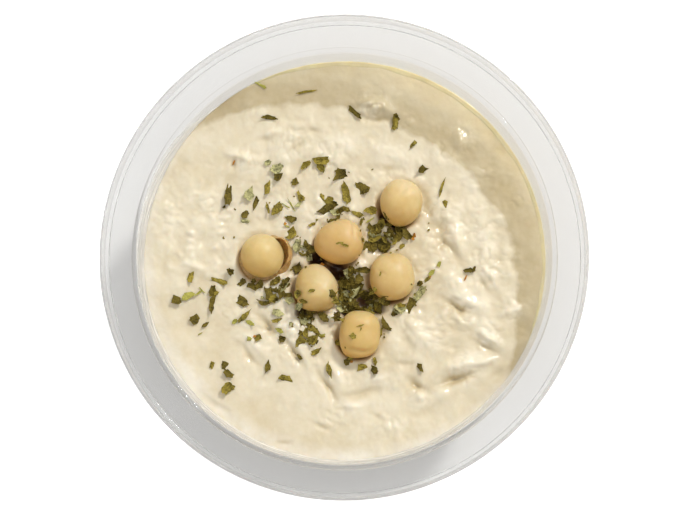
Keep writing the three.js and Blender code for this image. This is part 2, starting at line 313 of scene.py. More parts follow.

# Parsley laid one by one: middle x and y, length, width, turn in degrees
DARK_FLAKES = (
    (-28.9, 15.9, 5.4, 1.9, 78), (-29.6, 13.0, 1.3, 0.8, 60), (-22.1, 14.0, 3.5, 1.5, 75),
    (-24.4, 11.3, 3.2, 1.7, 85), (-16.6, 20.1, 2.3, 2.2, 40), (-12.3, 19.0, 1.9, 1.7, 60),
    (-18.9, 35.1, 3.3, 1.3, -8), (1.9, 36.8, 5.0, 1.5, -45), (12.2, 35.2, 2.4, 1.6, 80),
    (18.4, 22.3, 2.1, 1.7, 20), (4.1, 17.7, 3.7, 2.9, -30), (-1.3, 20.9, 3.4, 2.8, 40),
    (-4.4, 12.3, 5.0, 2.4, 35), (-13.4, 10.1, 3.0, 1.8, -25), (-8.7, 2.8, 1.8, 1.8, 30),
    (9.3, 3.9, 3.9, 3.4, 50), (5.8, 3.2, 3.4, 3.0, -20), (8.9, 9.3, 2.6, 2.0, 70),
    (12.4, 5.6, 3.0, 2.2, 15), (15.1, 6.3, 3.0, 2.0, -50), (7.6, 7.7, 3.0, 2.2, 0),
    (-40.8, -10.1, 2.6, 2.3, 30), (-32.3, -7.6, 2.7, 1.7, 60), (-32.4, -11.0, 3.7, 1.8, 85),
    (-36.8, -14.8, 3.3, 2.9, -35), (-34.0, -16.0, 1.9, 1.0, 60), (-25.1, -10.3, 3.7, 2.3, -35),
    (-15.2, -19.2, 1.7, 1.5, 10), (-18.3, -7.9, 4.7, 2.3, 82), (-19.6, -10.8, 3.4, 1.3, -12),
    (-22.3, -5.4, 1.6, 1.2, 0), (-13.9, -8.7, 2.2, 1.4, 20), (-5.1, -14.2, 3.6, 2.3, -35),
    (-11.8, -2.2, 2.4, 2.0, 70), (-10.9, -23.9, 1.8, 0.9, -60), (-29.0, -25.7, 2.5, 2.0, 20),
    (-28.3, -28.0, 2.9, 1.9, -50), (-18.7, -26.3, 3.1, 1.6, 75), (0.5, -24.7, 1.7, 1.5, 30),
    (2.7, -7.3, 3.4, 2.4, 20), (5.4, -8.6, 5.0, 3.6, -10), (8.1, -11.6, 4.0, 2.7, -25),
    (-0.2, -6.0, 3.4, 2.6, 60), (1.6, -10.6, 3.0, 2.2, -60), (15.9, -10.8, 3.9, 2.4, 65),
    (12.0, -12.9, 2.2, 1.5, 80), (10.0, -16.0, 3.4, 2.0, -60), (18.4, -5.8, 1.8, 1.5, 40),
    (30.1, -2.5, 3.5, 1.1, 0), (31.5, -2.1, 1.7, 0.8, 65), (18.2, -26.1, 2.7, 1.4, -45),
    (7.4, -27.2, 2.3, 1.6, -50), (4.1, -2.5, 3.6, 1.8, -10), (-8.2, -12.6, 3.2, 2.4, 70),
    (-3.2, -8.6, 2.8, 2.0, -80), (3.2, -4.6, 2.6, 2.0, 40), (-28.0, -3.2, 2.1, 1.6, -20),
    (-25.0, -5.4, 2.2, 1.5, 30), (-22.6, -6.4, 2.8, 1.8, -20), (-20.4, -6.0, 2.6, 1.8, 60),
    (-17.2, -5.6, 2.6, 1.7, 10),
)
OLIVE_FLAKES = (
    (-9.6, 41.6, 4.8, 0.8, 6), (-18.9, 17.7, 3.5, 1.9, 80), (-9.9, 23.4, 2.7, 1.3, 30),
    (-5.8, 24.4, 4.8, 2.0, -5), (-5.8, 22.8, 2.7, 1.8, -50), (-10.8, 15.6, 4.0, 1.6, -60),
    (-5.6, 15.6, 2.3, 1.0, -65), (-16.6, 12.5, 3.7, 2.3, 50), (-18.7, 12.5, 3.1, 0.9, -65),
    (-13.0, 6.5, 2.9, 2.5, 70), (-8.0, 8.7, 2.0, 0.9, 30), (0.2, 16.4, 5.4, 1.9, -80),
    (0.0, 12.6, 3.1, 1.6, -20), (3.1, 11.5, 3.4, 1.6, -35), (6.5, 12.2, 3.4, 1.9, -5),
    (12.2, 33.6, 3.4, 1.6, 80), (16.7, 28.7, 2.4, 1.0, 60), (23.6, 17.7, 3.9, 0.7, 73),
    (24.6, 13.9, 2.7, 1.1, -80), (6.9, 5.6, 3.6, 2.6, 30), (-37.7, -4.6, 2.7, 1.6, 55),
    (-30.6, -5.4, 3.7, 1.3, -18), (-24.4, -13.9, 3.7, 1.3, 45), (-16.6, -14.9, 2.6, 1.0, 10),
    (-21.1, -19.1, 2.3, 1.6, 40), (-7.8, -17.0, 3.1, 1.8, -20), (-10.8, -20.1, 3.0, 2.2, 60),
    (-7.5, -19.4, 3.2, 2.3, 25), (-6.8, -22.5, 2.7, 1.3, 30), (-2.0, -20.1, 1.9, 1.4, -50),
    (-14.4, -29.2, 3.8, 1.6, -20), (-32.3, -25.8, 2.1, 1.3, 70), (-28.5, -31.5, 3.3, 2.7, 30),
    (-3.7, -27.0, 3.6, 1.6, -75), (7.2, -24.6, 2.1, 1.0, -70), (4.3, -26.1, 2.8, 1.8, 30),
    (20.1, -4.6, 1.8, 1.1, 50), (8.8, -17.9, 2.2, 0.6, 85), (13.9, 3.5, 1.6, 1.0, 40),
    (-31.4, -8.2, 1.7, 1.0, 20), (-11.0, -8.6, 2.4, 1.8, 30), (3.9, 9.4, 2.4, 0.8, 80),
)
PALE_FLAKES = (
    (-23.6, 15.9, 3.4, 2.4, 60), (-24.4, 9.5, 2.7, 1.1, 0), (-16.8, 22.3, 3.1, 2.5, 20),
    (-11.5, 3.4, 3.3, 1.8, 75), (-11.6, 13.2, 2.2, 1.4, 20), (-2.7, 11.6, 2.4, 1.6, 10),
    (-8.9, 0.8, 2.2, 1.8, 30), (-16.3, -13.0, 3.4, 2.2, -25), (-15.6, -6.7, 3.3, 2.8, 30),
    (-13.7, -10.1, 2.2, 1.6, -10), (-13.2, -15.8, 1.5, 0.9, 70), (-10.2, -14.4, 3.4, 2.0, -80),
    (1.0, -2.9, 3.4, 2.2, 20), (0.3, -9.2, 3.6, 2.6, 80), (-0.9, -11.5, 3.0, 2.2, -30),
    (18.2, -8.0, 3.7, 3.0, 30), (13.8, -11.8, 3.0, 2.5, 10), (-19.0, 24.0, 2.0, 1.4, -30),
)
FRESH_FLAKES = (
    (-20.4, 43.0, 4.0, 1.0, -28), (-38.2, -8.9, 4.0, 1.9, 20), (-26.8, -15.1, 2.4, 1.4, 40),
    (-23.0, -15.6, 2.8, 1.2, -30), (-23.3, -19.4, 1.4, 1.3, 0), (-15.8, -17.3, 2.2, 1.6, -20),
    (21.2, -3.0, 2.2, 1.3, 45), (22.9, -1.1, 2.0, 1.1, 60), (-5.0, 24.2, 2.2, 0.9, 35),
    (-35.6, -8.2, 2.2, 0.8, 35), (-5.6, -18.4, 2.4, 0.5, 10),
)
STEMS = (
    (-13.2, 13.6, 4.0, 0.4, -58), (-14.4, 13.2, 3.0, 0.4, -35), (-34.9, -7.5, 2.3, 0.4, -42),
    (-35.2, -18.2, 2.1, 0.3, 30), (-2.3, -14.3, 2.5, 0.4, 2), (-14.2, 8.2, 1.9, 0.5, -15),
    (11.4, 6.8, 3.0, 0.5, -70), (6.0, 9.8, 2.8, 0.4, 35), (-5.2, 22.2, 1.8, 0.4, 75),
)
# Bits that lie on chickpeas
FLAKES_ON_PEAS = (
    (-1.2, 3.4, 2.9, 0.9, 12), (0.2, 2.8, 2.2, 0.7, -18), (-7.9, -8.2, 2.2, 0.9, 5),
    (2.2, -19.2, 2.5, 2.2, 30), (4.0, -16.6, 2.0, 0.4, 12), (4.1, -17.4, 1.2, 0.4, 80),
    (8.8, -4.0, 1.6, 0.4, 78), (1.4, -24.0, 1.4, 1.2, 20),
)
ORANGE_BITS = (
    (16.7, 5.6, 2.0, 1.4, 60), (-5.6, -1.4, 1.6, 1.2, 20), (1.6, -24.8, 1.6, 1.0, 10),
    (-27.3, 24.0, 1.5, 0.5, 70), (20.7, -4.0, 0.9, 0.7, 0), (-21.9, -18.8, 0.8, 0.6, 20),
    (-14.6, 8.9, 0.8, 0.7, 0), (29.4, -4.4, 1.8, 0.4, 70),
)
# Heaps of parsley: middle x and y, radius, number of flakes, height of the heap
HEAPS = (
    (7.6, 5.0, 3.4, 24, 1.2), (-0.6, -4.8, 3.4, 34, 0.8), (1.0, -8.8, 3.6, 34, 1.6),
    (7.0, -9.6, 3.4, 26, 1.2), (-9.2, 2.6, 1.7, 6, 0.6), (-9.4, -12.6, 2.6, 14, 1.0),
    (12.6, 6.4, 2.8, 8, 0.8), (-18.0, -8.2, 2.6, 7, 0.6), (14.4, -11.4, 2.4, 7, 0.8),
    (-3.4, 11.8, 2.6, 6, 0.6), (-15.2, -6.4, 2.4, 6, 0.6), (9.4, 10.0, 2.0, 5, 0.5),
    (-8.6, -18.6, 2.8, 6, 0.4), (-0.2, -13.0, 2.6, 6, 0.6),
)

# Stage: half the floor's side, colours, height in the sky at which its light is full, and the direction
# along the floor in which the camera leans off vertical
FLOOR_REACH = 3000.0
FLOOR_COLOUR = (0.88, 0.88, 0.88, 1.0)
WARM_WHITE = (1.0, 0.985, 0.955)
SKY_TOP = 0.55
NEAR_SIDE = (0.256, -0.967, 0.0)


# ---------------------------------------------------------------- numbers and small helpers


def bell(distance):
    return np.exp(-np.square(distance))


def smooth_step(low, high, value):
    share = np.clip((value - low) / (high - low), 0.0, 1.0)
    return share * share * (3.0 - 2.0 * share)


def noise_at(x, y, size, layer):
    """Smooth noise, about -1 to 1, at points in millimetres, with features of the given size."""
    pairs = zip(np.ravel(x) / size, np.ravel(y) / size)
    values = [noise.noise((px, py, layer)) for px, py in pairs]
    return np.array(values).reshape(np.shape(x))


def heading(azimuth, elevation=0):
    """The direction with an azimuth and an elevation in degrees."""
    around = math.radians(azimuth)
    up = math.radians(elevation)
    return np.array((math.cos(up) * math.cos(around), math.cos(up) * math.sin(around), math.sin(up)))


def in_oval(dx, dy, length, width, angle):
    """Distances along and across an oval turned by an angle, as shares of its half length and half width."""
    along = (dx * math.cos(angle) + dy * math.sin(angle)) / (length / 2)
    across = (dy * math.cos(angle) - dx * math.sin(angle)) / (width / 2)
    return along, across


def ring(radius, angles, height):
    """Points at a radius and a height, each one number or one for each angle."""
    level = height + np.zeros_like(angles)
    return np.column_stack((radius * np.cos(angles), radius * np.sin(angles), level))


def noise_round(angles, radius, size, layer, height=0.0):
    """Noise along a circle, different at each height."""
    return noise_at(np.cos(angles) * radius, np.sin(angles) * radius + height, size, layer)


def full_turn(count):
    return np.linspace(0.0, 2.0 * math.pi, count, endpoint=False)


def fading_ends(angles, first, last):
    """One along the angles, falling to nothing over the given angles at each end."""
    return smooth_step(0.0, first, angles - angles[0]) * smooth_step(0.0, last, angles[-1] - angles)


def mesh_object(name, points, faces, material, sharp_angle=None):
    """A smooth-shaded mesh object from points in millimetres."""
    mesh = bpy.data.meshes.new(name)
    vertices = np.asarray(points, dtype=float) * MM
    mesh.from_pydata(vertices.tolist(), [], [tuple(face) for face in faces])
    mesh.validate()
    mesh.shade_smooth()
    if sharp_angle is not None:
        mesh.set_sharp_from_angle(angle=sharp_angle)
    mesh.materials.append(material)
    piece = bpy.data.objects.new(name, mesh)
    bpy.context.scene.collection.objects.link(piece)
    return piece


def grid_faces(rows, columns, closed=False):
    """Quads over rows of points; a closed grid joins its last column to its first."""
    faces = []
    for row in range(rows - 1):
        for column in range(columns if closed else columns - 1):
            right = (column + 1) % columns
            low = row * columns
            high = low + columns
            faces.append((low + column, low + right, high + right, high + column))
    return faces


def capped_rings(lowest, rings, highest):
    """Points and faces of a closed body from its lowest point through rings to its highest point."""
    count = len(rings[0])
    points = np.vstack([np.reshape(lowest, (1, 3)), *rings, np.reshape(highest, (1, 3))])
    faces = [tuple(corner + 1 for corner in face) for face in grid_faces(len(rings), count, closed=True)]
    last = len(points) - 1
    for i in range(count):
        j = (i + 1) % count
        faces.append((0, 1 + j, 1 + i))
        faces.append((last, last - count + i, last - count + j))
    return points, faces


# ---------------------------------------------------------------- materials


def set_inputs(target, inputs):
    """Gives each input of a node its value, or links it when it is given another node's output."""
    for name, value in inputs.items():
        if isinstance(value, bpy.types.NodeSocket):
            target.id_data.links.new(value, target.inputs[name])
        else:
            target.inputs[name].default_value = value


def node(tree, kind, inputs=None, **settings):
    """Adds a shader node to the right of the others and sets its properties and inputs."""
    made = tree.nodes.new("ShaderNode" + kind)
    made.location = (NODE_STEP * len(tree.nodes), 0)
    for name, value in settings.items():
        setattr(made, name, value)
    set_inputs(made, inputs or {})
    return made


def arithmetic(tree, operation, *values):
    return node(tree, "Math", dict(enumerate(values)), operation=operation).outputs[0]


def vector_arithmetic(tree, operation, *values):
    made = node(tree, "VectorMath", dict(enumerate(values)), operation=operation)
    return made.outputs["Vector" if operation == "MULTIPLY" else "Value"]


def mixed_colours(tree, share, first, second, blend_type="MIX"):
    inputs = {0: share, 6: first, 7: second}
    return node(tree, "Mix", inputs, data_type="RGBA", blend_type=blend_type).outputs[2]


def map_range(tree, value, low, high, to_low=0.0, to_high=1.0):
    inputs = {"Value": value, "From Min": low, "From Max": high, "To Min": to_low, "To Max": to_high}
    return node(tree, "MapRange", inputs).outputs["Result"]


def noise_node(tree, place, scale, detail, roughness=0.5):
    inputs = {"Vector": place, "Scale": scale, "Detail": detail, "Roughness": roughness}
    return node(tree, "TexNoise", inputs).outputs["Fac"]


def object_place(tree):
    return node(tree, "TexCoord").outputs["Object"]


def new_group(name, inputs, output, kind):
    """An empty shader node group; returns it, the outputs of its start and the input of its end."""
    tree = bpy.data.node_groups.new(name, "ShaderNodeTree")
    for label, default in inputs.items():
        sort = "NodeSocketColor" if isinstance(default, tuple) else "NodeSocketFloat"
        tree.interface.new_socket(name=label, in_out="INPUT", socket_type=sort).default_value = default
    tree.interface.new_socket(name=output, in_out="OUTPUT", socket_type=kind)
    start = tree.nodes.new("NodeGroupInput")
    end = tree.nodes.new("NodeGroupOutput")
    end.location = (NODE_STEP * 9, 0)
    return tree, start.outputs, end.inputs[output]


def group(name, build):
    """The named group, built the first time it is asked for."""
    found = bpy.data.node_groups.get(name)
    return found if found else build(name)


def two_noises(tree, coarse, fine, share):
    """A coarse noise with a finer one mixed in; each is given by its scale, detail and roughness."""
    place = object_place(tree)
    inputs = {0: share, 2: noise_node(tree, place, *coarse), 3: noise_node(tree, place, *fine)}
    return node(tree, "Mix", inputs, data_type="FLOAT").outputs[0]


def build_mottling(name):
    """Two colours mixed in soft patches, with a second finer layer over them."""
    tree, given, result = new_group(name, {
        "Light": (0.8, 0.7, 0.5, 1.0),
        "Dark": (0.6, 0.5, 0.3, 1.0),
        "Patches Per Metre": 150.0,
        "Specks Per Metre": 900.0,
        "Speck Share": 0.3,
    }, "Color", "NodeSocketColor")
    patches = (given["Patches Per Metre"], 3.0, 0.55)
    specks = (given["Specks Per Metre"], 2.0, 0.6)
    spread = map_range(tree, two_noises(tree, patches, specks, given["Speck Share"]), 0.32, 0.68)
    tree.links.new(mixed_colours(tree, spread, given["Dark"], given["Light"]), result)
    return tree


def build_grain(name):
    """Height of a fine uneven surface: soft waves with grains on them."""
    tree, given, result = new_group(name, {
        "Waves Per Metre": 400.0,
        "Grains Per Metre": 1800.0,
        "Grain Share": 0.4,
    }, "Height", "NodeSocketFloat")
    waves = (given["Waves Per Metre"], 4.0)
    grains = (given["Grains Per Metre"], 2.0)
    tree.links.new(two_noises(tree, waves, grains, given["Grain Share"]), result)
    return tree


def new_material(name):
    """A material with nodes; returns it, its tree and its Principled BSDF."""
    material = bpy.data.materials.new(name)
    material.use_nodes = True
    tree = material.node_tree
    return material, tree, tree.nodes["Principled BSDF"]


def show(tree, shader):
    """Links a shader to the material's output."""
    set_inputs(tree.nodes["Material Output"], {"Surface": shader.outputs[0]})


def rgba(colour):
    return (colour[0], colour[1], colour[2], 1.0)


def mottled_colour(tree, light, dark, patch, speck, share):
    """Colour from the mottling group."""
    return node(tree, "Group", {
        "Light": rgba(light),
        "Dark": rgba(dark),
        "Patches Per Metre": 1.0 / (patch * MM),
        "Specks Per Metre": 1.0 / (speck * MM),
        "Speck Share": share,
    }, node_tree=group("Mottling", build_mottling)).outputs["Color"]


def grain_normal(tree, wave, grain, share, strength, distance):
    """Normal from the grain group through a bump."""
    height = node(tree, "Group", {
        "Waves Per Metre": 1.0 / (wave * MM),
        "Grains Per Metre": 1.0 / (grain * MM),
        "Grain Share": share,
    }, node_tree=group("Grain", build_grain)).outputs["Height"]
    bump = {"Strength": strength, "Distance": distance * MM, "Height": height}
    return node(tree, "Bump", bump).outputs["Normal"]


def food(name, light, dark, mottling, grain, looks):
    """A mottled material with a fine relief; returns it, its tree, its shader and its mottled colour.

    Mottling is the sizes of patches and specks and the share of specks. Grain is the sizes of waves and
    grains, the share of grains, and the strength and depth of the relief. Sizes are in millimetres.
    """
    material, tree, shader = new_material(name)
    colour = mottled_colour(tree, light, dark, *mottling)
    set_inputs(shader, {"Base Color": colour, "Normal": grain_normal(tree, *grain), **looks})
    return material, tree, shader, colour


def translucent(weight, scale, radius):
    """Values that let light into a food, to a depth in millimetres."""
    return {"Subsurface Weight": weight, "Subsurface Scale": scale * MM, "Subsurface Radius": radius}


def coated(weight, roughness):
    return {"Coat Weight": weight, "Coat Roughness": roughness}


def clear_plastic(settings):
    """Clear, faintly hazy plastic with a pale shadow and a thinned outer edge."""
    material, tree, shader = new_material("clear_pot_plastic")
    flat = vector_arithmetic(tree, "MULTIPLY", object_place(tree), LEVEL_PART)
    away = vector_arithmetic(tree, "LENGTH", flat)
    inner, outer = ((RIM_RADIUS - inside) * MM for inside in EDGE_SPAN)
    set_inputs(shader, {
        "Base Color": rgba(settings.plastic_colour),
        "Roughness": settings.plastic_roughness,
        "IOR": 1.3,
        "Transmission Weight": 0.92,
        "Specular IOR Level": 0.5,
        "Normal": grain_normal(tree, 9.0, 2.6, 0.3, 0.12, 0.05),
        "Alpha": map_range(tree, away, inner, outer, 1.0, EDGE_ALPHA),
    })
    rays = node(tree, "LightPath")
    shade = node(tree, "BsdfTransparent", {"Color": rgba(settings.shadow_tint)})
    show(tree, node(tree, "MixShader", {
        0: rays.outputs["Is Shadow Ray"], 1: shader.outputs[0], 2: shade.outputs[0],
    }))
    return material


def hummus_paste(settings):
    """Wet blended chickpea paste: creamy, slightly translucent, with small grains."""
    material, tree, shader, colour = food(
        "hummus_paste", settings.hummus_light, settings.hummus_dark,
        mottling=(9.0, 1.3, 0.35), grain=(2.2, 0.7, 0.35, 0.22, 0.25),
        looks={"Roughness": 0.48, **translucent(0.3, 1.4, (1.0, 0.7, 0.4)), **coated(0.3, 0.14)},
    )
    # The base colour carries painted shade, shadow and highlight
    set_inputs(shader, {"Base Color": settled_oil(tree, colour, settings)})
    return material


def circles_field(tree, flat, circles, pick):
    """The least or greatest distance past the edges of some circles (x, y, radius), in metres."""
    field = None
    for x, y, radius in circles:
        away = vector_arithmetic(tree, "DISTANCE", flat, (x * MM, y * MM, 0.0))
        past = arithmetic(tree, "SUBTRACT", away, radius * MM)
        field = past if field is None else arithmetic(tree, pick, field, past)
    return field


def tinted(tree, colour, value, low, high, low_tint=NO_TINT, high_tint=NO_TINT):
    """The colour times a tint that goes from one to the other as the value goes from low to high."""
    share = map_range(tree, value, low * MM, high * MM)
    tint = mixed_colours(tree, share, rgba(low_tint), rgba(high_tint))
    return mixed_colours(tree, 1.0, colour, tint, "MULTIPLY")


def crescent_shadow_circle(way, shift, radius):
    """Middle and radius of the circle whose outside is a crescent of painted shadow."""
    centre = -shift * heading(way)
    return centre[0], centre[1], radius


def pea_shadow_circle(spec):
    """Middle and radius of the painted shadow beside a chickpea, shifted to its shaded side."""
    number, offset, size, *_ = spec
    middle = pea_middle(number, offset) + PEA_SHADOW_SHIFT * heading(SHADE_HEADING)
    return middle[0], middle[1], (size[0] + size[1]) / 4 - PEA_SHADOW_INSET


def crescent_shadow_colour(tree, place, flat, height):
    """Painted shadow in crescents by the wall; its wavering edges reach further into hollows."""
    wobble = noise_node(tree, place, 1.0 / (WOBBLE_SIZE * MM), 3.0)
    rims = [crescent_shadow_circle(way, shift, radius + CRESCENT_SHADOW_WOBBLE / 2) for way, shift, radius in CRESCENT_SHADOWS]
    past = circles_field(tree, flat, rims, "MAXIMUM")
    past = arithmetic(tree, "MULTIPLY_ADD", wobble, CRESCENT_SHADOW_WOBBLE * MM, past)
    past = arithmetic(tree, "MULTIPLY_ADD", height, -HOLLOW_REACH, past)
    low, high = CRESCENT_SHADOW_SPAN
    ramp = node(tree, "ValToRGB", {0: map_range(tree, past, low * MM, high * MM)})
    stops = ramp.color_ramp.elements
    stops.remove(stops[1])
    stops[0].color = rgba(CRESCENT_SHADOW_TINTS[0])
    for stop, tint in zip(CRESCENT_SHADOW_STOPS, CRESCENT_SHADOW_TINTS):
        stops.new(stop).color = rgba(tint)
    return ramp.outputs["Color"]


# Paints shade, shadows and a highlight into the paste's colour; no oil is drawn here
def settled_oil(tree, colour, settings):
    """The paste's colour: painted shade and shadow in hollows, round the chickpeas and by the wall; darker
    in its middle.
    """
    place = object_place(tree)
    flat = vector_arithmetic(tree, "MULTIPLY", place, LEVEL_PART)
    slope = settings.tilt / (MOUTH_RADIUS * MM)
    upright = tuple(heading(90, 90) - slope * heading(HIGH_SIDE))
    height = vector_arithmetic(tree, "DOT_PRODUCT", place, upright)
    height = arithmetic(tree, "SUBTRACT", height, settings.level)
    # Painted shadow in crescents by the wall
    colour = mixed_colours(tree, 1.0, colour, crescent_shadow_colour(tree, place, flat, height), "MULTIPLY")
    # Painted shade in hollows and painted highlight on rises, by height over the level
    colour = tinted(tree, colour, height, -0.8, 0.6, HOLLOW_SHADE_TINT, RIDGE_HIGHLIGHT_TINT)
    # Painted shadow on the shaded side of each chickpea
    pea_shadows = [pea_shadow_circle(spec) for spec in PEAS]
    # Each has its circles, where its tint begins and ends past their edges, and the tints at those places
    for circles, low, high, low_tint, high_tint in (
        # Darker towards the middle
        ([DARKER_MIDDLE], 14.0, 34.0, MIDDLE_TINT, NO_TINT),
        (pea_shadows, -0.2, 1.3, PEA_SHADOW_TINT, NO_TINT),
        # Painted shade in the pits
        (PITS, -0.9, 0.5, PIT_SHADE_TINT, NO_TINT),
        ([WHIPPED_CIRCLE], 0.0, 2.6, NO_TINT, WHIPPED_TINT),
    ):
        field = circles_field(tree, flat, circles, "MINIMUM")
        colour = tinted(tree, colour, field, low, high, low_tint, high_tint)
    return colour


def painted_shade_and_light(tree, colour, tint):
    """Painted shade browns the side away from the key light; painted light pales the lit side."""
    normal = node(tree, "NewGeometry").outputs["Normal"]
    shade = tuple(heading(SHADE_HEADING, SHADE_DIP) * MM)
    facing = vector_arithmetic(tree, "DOT_PRODUCT", normal, shade)
    colour = tinted(tree, colour, facing, -0.1, 0.85, high_tint=tint)
    return tinted(tree, colour, facing, -0.82, -0.1, low_tint=PEA_LIGHT_TINT)


def chickpea_skin(settings, number, tint):
    """Smooth cooked chickpea skin, painted browner on its shaded side and paler on its lit side."""
    material, tree, shader, colour = food(
        f"chickpea_skin_{number}",
        np.multiply(settings.pea_light, tint), np.multiply(settings.pea_dark, tint),
        mottling=(7.0, 1.1, 0.2), grain=(2.4, 0.5, 0.25, 0.22, 0.2),
        looks={
            "Roughness": 0.5,
            "Specular IOR Level": 0.45,
            **translucent(0.4, 1.8, (1.0, 0.5, 0.16)),
            **coated(0.12, 0.3),
        },
    )
    # Painted shade and painted light, by the way the skin faces the key light
    set_inputs(shader, {"Base Color": painted_shade_and_light(tree, colour, PEA_SHADE_TINT)})
    return material


def torn_skin(settings):
    """Loose chickpea skin, thin and browner than the skin still on, painted darker on its shaded side and
    paler on its lit side.
    """
    material, tree, shader, colour = food(
        "torn_chickpea_skin", settings.torn_skin_light, settings.torn_skin_dark,
        mottling=(4.0, 0.8, 0.3), grain=(1.4, 0.4, 0.3, 0.4, 0.25),
        looks={"Roughness": 0.38, **translucent(0.5, 1.5, (1.0, 0.5, 0.2)), **coated(0.2, 0.2)},
    )
    # Painted shade and painted light, by the way the skin faces the key light
    set_inputs(shader, {"Base Color": painted_shade_and_light(tree, colour, TORN_SKIN_SHADE_TINT)})
    return material


def dried_leaf(name, light, dark):
    """Dried parsley: matt, in small patches of two colours."""
    return food(
        name, light, dark, mottling=(1.6, 0.4, 0.45), grain=(0.9, 0.3, 0.5, 0.6, 0.15),
        looks={"Roughness": 0.7, "Specular IOR Level": 0.15},
    )[0]


def wall_oil(settings):
    """Oil that has settled where the hummus meets the wall."""
    return food(
        "settled_oil", settings.oil_light, settings.oil_dark,
        mottling=(6.0, 1.0, 0.3), grain=(3.0, 0.9, 0.3, 0.3, 0.2),
        looks={"Roughness": 0.2, **translucent(0.4, 1.0, (1.0, 0.8, 0.4))},
    )[0]


def wall_film(settings):
    """Streaky film of hummus, thinner towards its upper edge."""
    material, tree, shader, _ = food(
        "wall_film", settings.film_light, settings.film_dark,
        mottling=(4.0, 0.8, 0.3), grain=(2.0, 0.6, 0.4, 0.3, 0.2), looks={"Roughness": 0.5},
    )
    place = object_place(tree)
    stretched = vector_arithmetic(tree, "MULTIPLY", place, STREAK_STRETCH)
    streaks = noise_node(tree, stretched, 1.0 / (STREAK_SIZE * MM), 4.0)
    height = node(tree, "SeparateXYZ", {0: place}).outputs["Z"]
    low, high = (settings.level + rise * MM for rise in FILM_FADE)
    fade = map_range(tree, height, low, high, *FILM_COVER)
    cover = node(tree, "Math", {0: fade, 1: streaks}, operation="MULTIPLY", use_clamp=True)
    set_inputs(shader, {"Alpha": cover.outputs[0]})
    return material


# ---------------------------------------------------------------- pot


def arc(centre, radius, start, stop, steps):
    angles = np.linspace(start, stop, steps + 1)
    return [(centre[0] + radius * math.cos(a), centre[1] + radius * math.sin(a)) for a in angles]


def bend_centre(on_face, lean, bend, level):
    """Middle of a bend from a level sheet up into a side that leans out through the point on_face."""
    start = (on_face[0] - bend * math.cos(lean), on_face[1] + bend * math.sin(lean))
    rise = (level + bend - start[1]) / math.cos(lean)
    return (start[0] + rise * math.sin(lean), level + bend)


def wall_radius(height, depth=0.0):
    """Radius of a face of the wall at a height, at a depth into the sheet from the food's side."""
    return MOUTH_RADIUS + depth / math.cos(TAPER) - (LAND_HEIGHT - height) * math.tan(TAPER)


def foot_face(sheet, depth, steps):
    """The foot and its bend into the wall, at a depth into the sheet, from the middle outwards."""
    centre = bend_centre((MOUTH_RADIUS, LAND_HEIGHT), TAPER, FOOT_BEND, sheet)
    return [
        (0.0, PANEL_LIFT + sheet - depth),
        (FOOT_RADIUS - PANEL_LIFT, PANEL_LIFT + sheet - depth),
        (FOOT_RADIUS, sheet - depth),
        *arc(centre, FOOT_BEND + depth, -math.pi / 2, -TAPER, steps),
    ]


def land_top():
    """Upper face of the land from the lip inwards, with its faint moulded rings."""
    points = []
    for radius in np.arange(*LAND_SPAN, -0.2):
        rise = sum(height * bell((radius - middle) / LAND_RING_WIDTH) for middle, height in LAND_RINGS)
        points.append((radius, LAND_HEIGHT + rise))
    return points


def with_supports(profile, gap=0.12):
    """The section with a point close to each end of every long stretch, which keeps it flat in shade."""
    points = [profile[0]]
    for start, end in zip(profile, profile[1:]):
        run = math.dist(start, end)
        if run > 8 * gap:
            for share in (gap / run, 1.0 - gap / run):
                points.append(tuple(a + (b - a) * share for a, b in zip(start, end)))
        points.append(end)
    return points


def pot_profile(sheet):
    """The pot's closed section, from the middle of its underside to the middle of its inside."""
    half = sheet / 2
    tip = (RIM_RADIUS - half, POT_HEIGHT - half)
    lip_face = (tip[0] - math.cos(LIP_LEAN) * half, tip[1] + math.sin(LIP_LEAN) * half)
    lip = bend_centre(lip_face, LIP_LEAN, LIP_BEND, LAND_HEIGHT)
    under_height = LAND_HEIGHT - sheet - UNDER_ROUND
    under = (wall_radius(under_height, sheet) + UNDER_ROUND / math.cos(TAPER), under_height)
    bead = (MOUTH_RADIUS + BEAD_RADIUS, LAND_HEIGHT)
    return [
        *foot_face(sheet, sheet, BEND_STEPS),
        *arc(under, UNDER_ROUND, math.pi - TAPER, math.pi / 2, 6),
        *arc(lip, LIP_BEND + sheet, -math.pi / 2, -LIP_LEAN, BEND_STEPS),
        *arc(tip, half, -LIP_LEAN, math.pi - LIP_LEAN, BEND_STEPS),
        *arc(lip, LIP_BEND, -LIP_LEAN, -math.pi / 2, 6),
        *land_top(),
        *arc(bead, BEAD_RADIUS, 0.0, math.pi, 10),
        *reversed(foot_face(sheet, 0.0, BEND_STEPS)),
    ]


def build_pot(settings):
    profile = with_supports(pot_profile(settings.sheet / MM))
    angles = full_turn(POT_SEGMENTS)
    rings = [ring(radius, angles, height) for radius, height in profile[1:-1]]
    points, faces = capped_rings((0.0, 0.0, profile[0][1]), rings, (0.0, 0.0, profile[-1][1]))
    pot = mesh_object("pot", points, faces, clear_plastic(settings), SHARP_BEND)
    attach(pot, BODY)
    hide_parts("tub")


# ---------------------------------------------------------------- hummus


def warped(x, y, amount, size, layers):
    """Points moved a little by noise, so that no shape laid on them is plain."""
    return [part + amount * noise_at(x, y, size, layer) for part, layer in zip((x, y), layers)]


def folds_height(x, y):
    """Rises and hollows left by the spoon; deep hollows have straighter, sharper sides."""
    warped_x, warped_y = warped(x, y, *FOLD_WARP)
    height = np.zeros_like(x)
    for fold_x, fold_y, length, width, turn, rise in FOLDS:
        angle = math.radians(turn) if -90 < turn < 60 else math.radians(turn - 180)
        along, across = in_oval(warped_x - fold_x, warped_y - fold_y, length, width, angle)
        steep = across < 0.0 if rise > 0.0 else across > 0.0
        away = np.hypot(along, across * np.where(steep, STEEP_SIDE, GENTLE_SIDE))
        height += rise * (bell(away) if rise > CREVICE else np.exp(-1.3 * away ** 1.3))
    return height


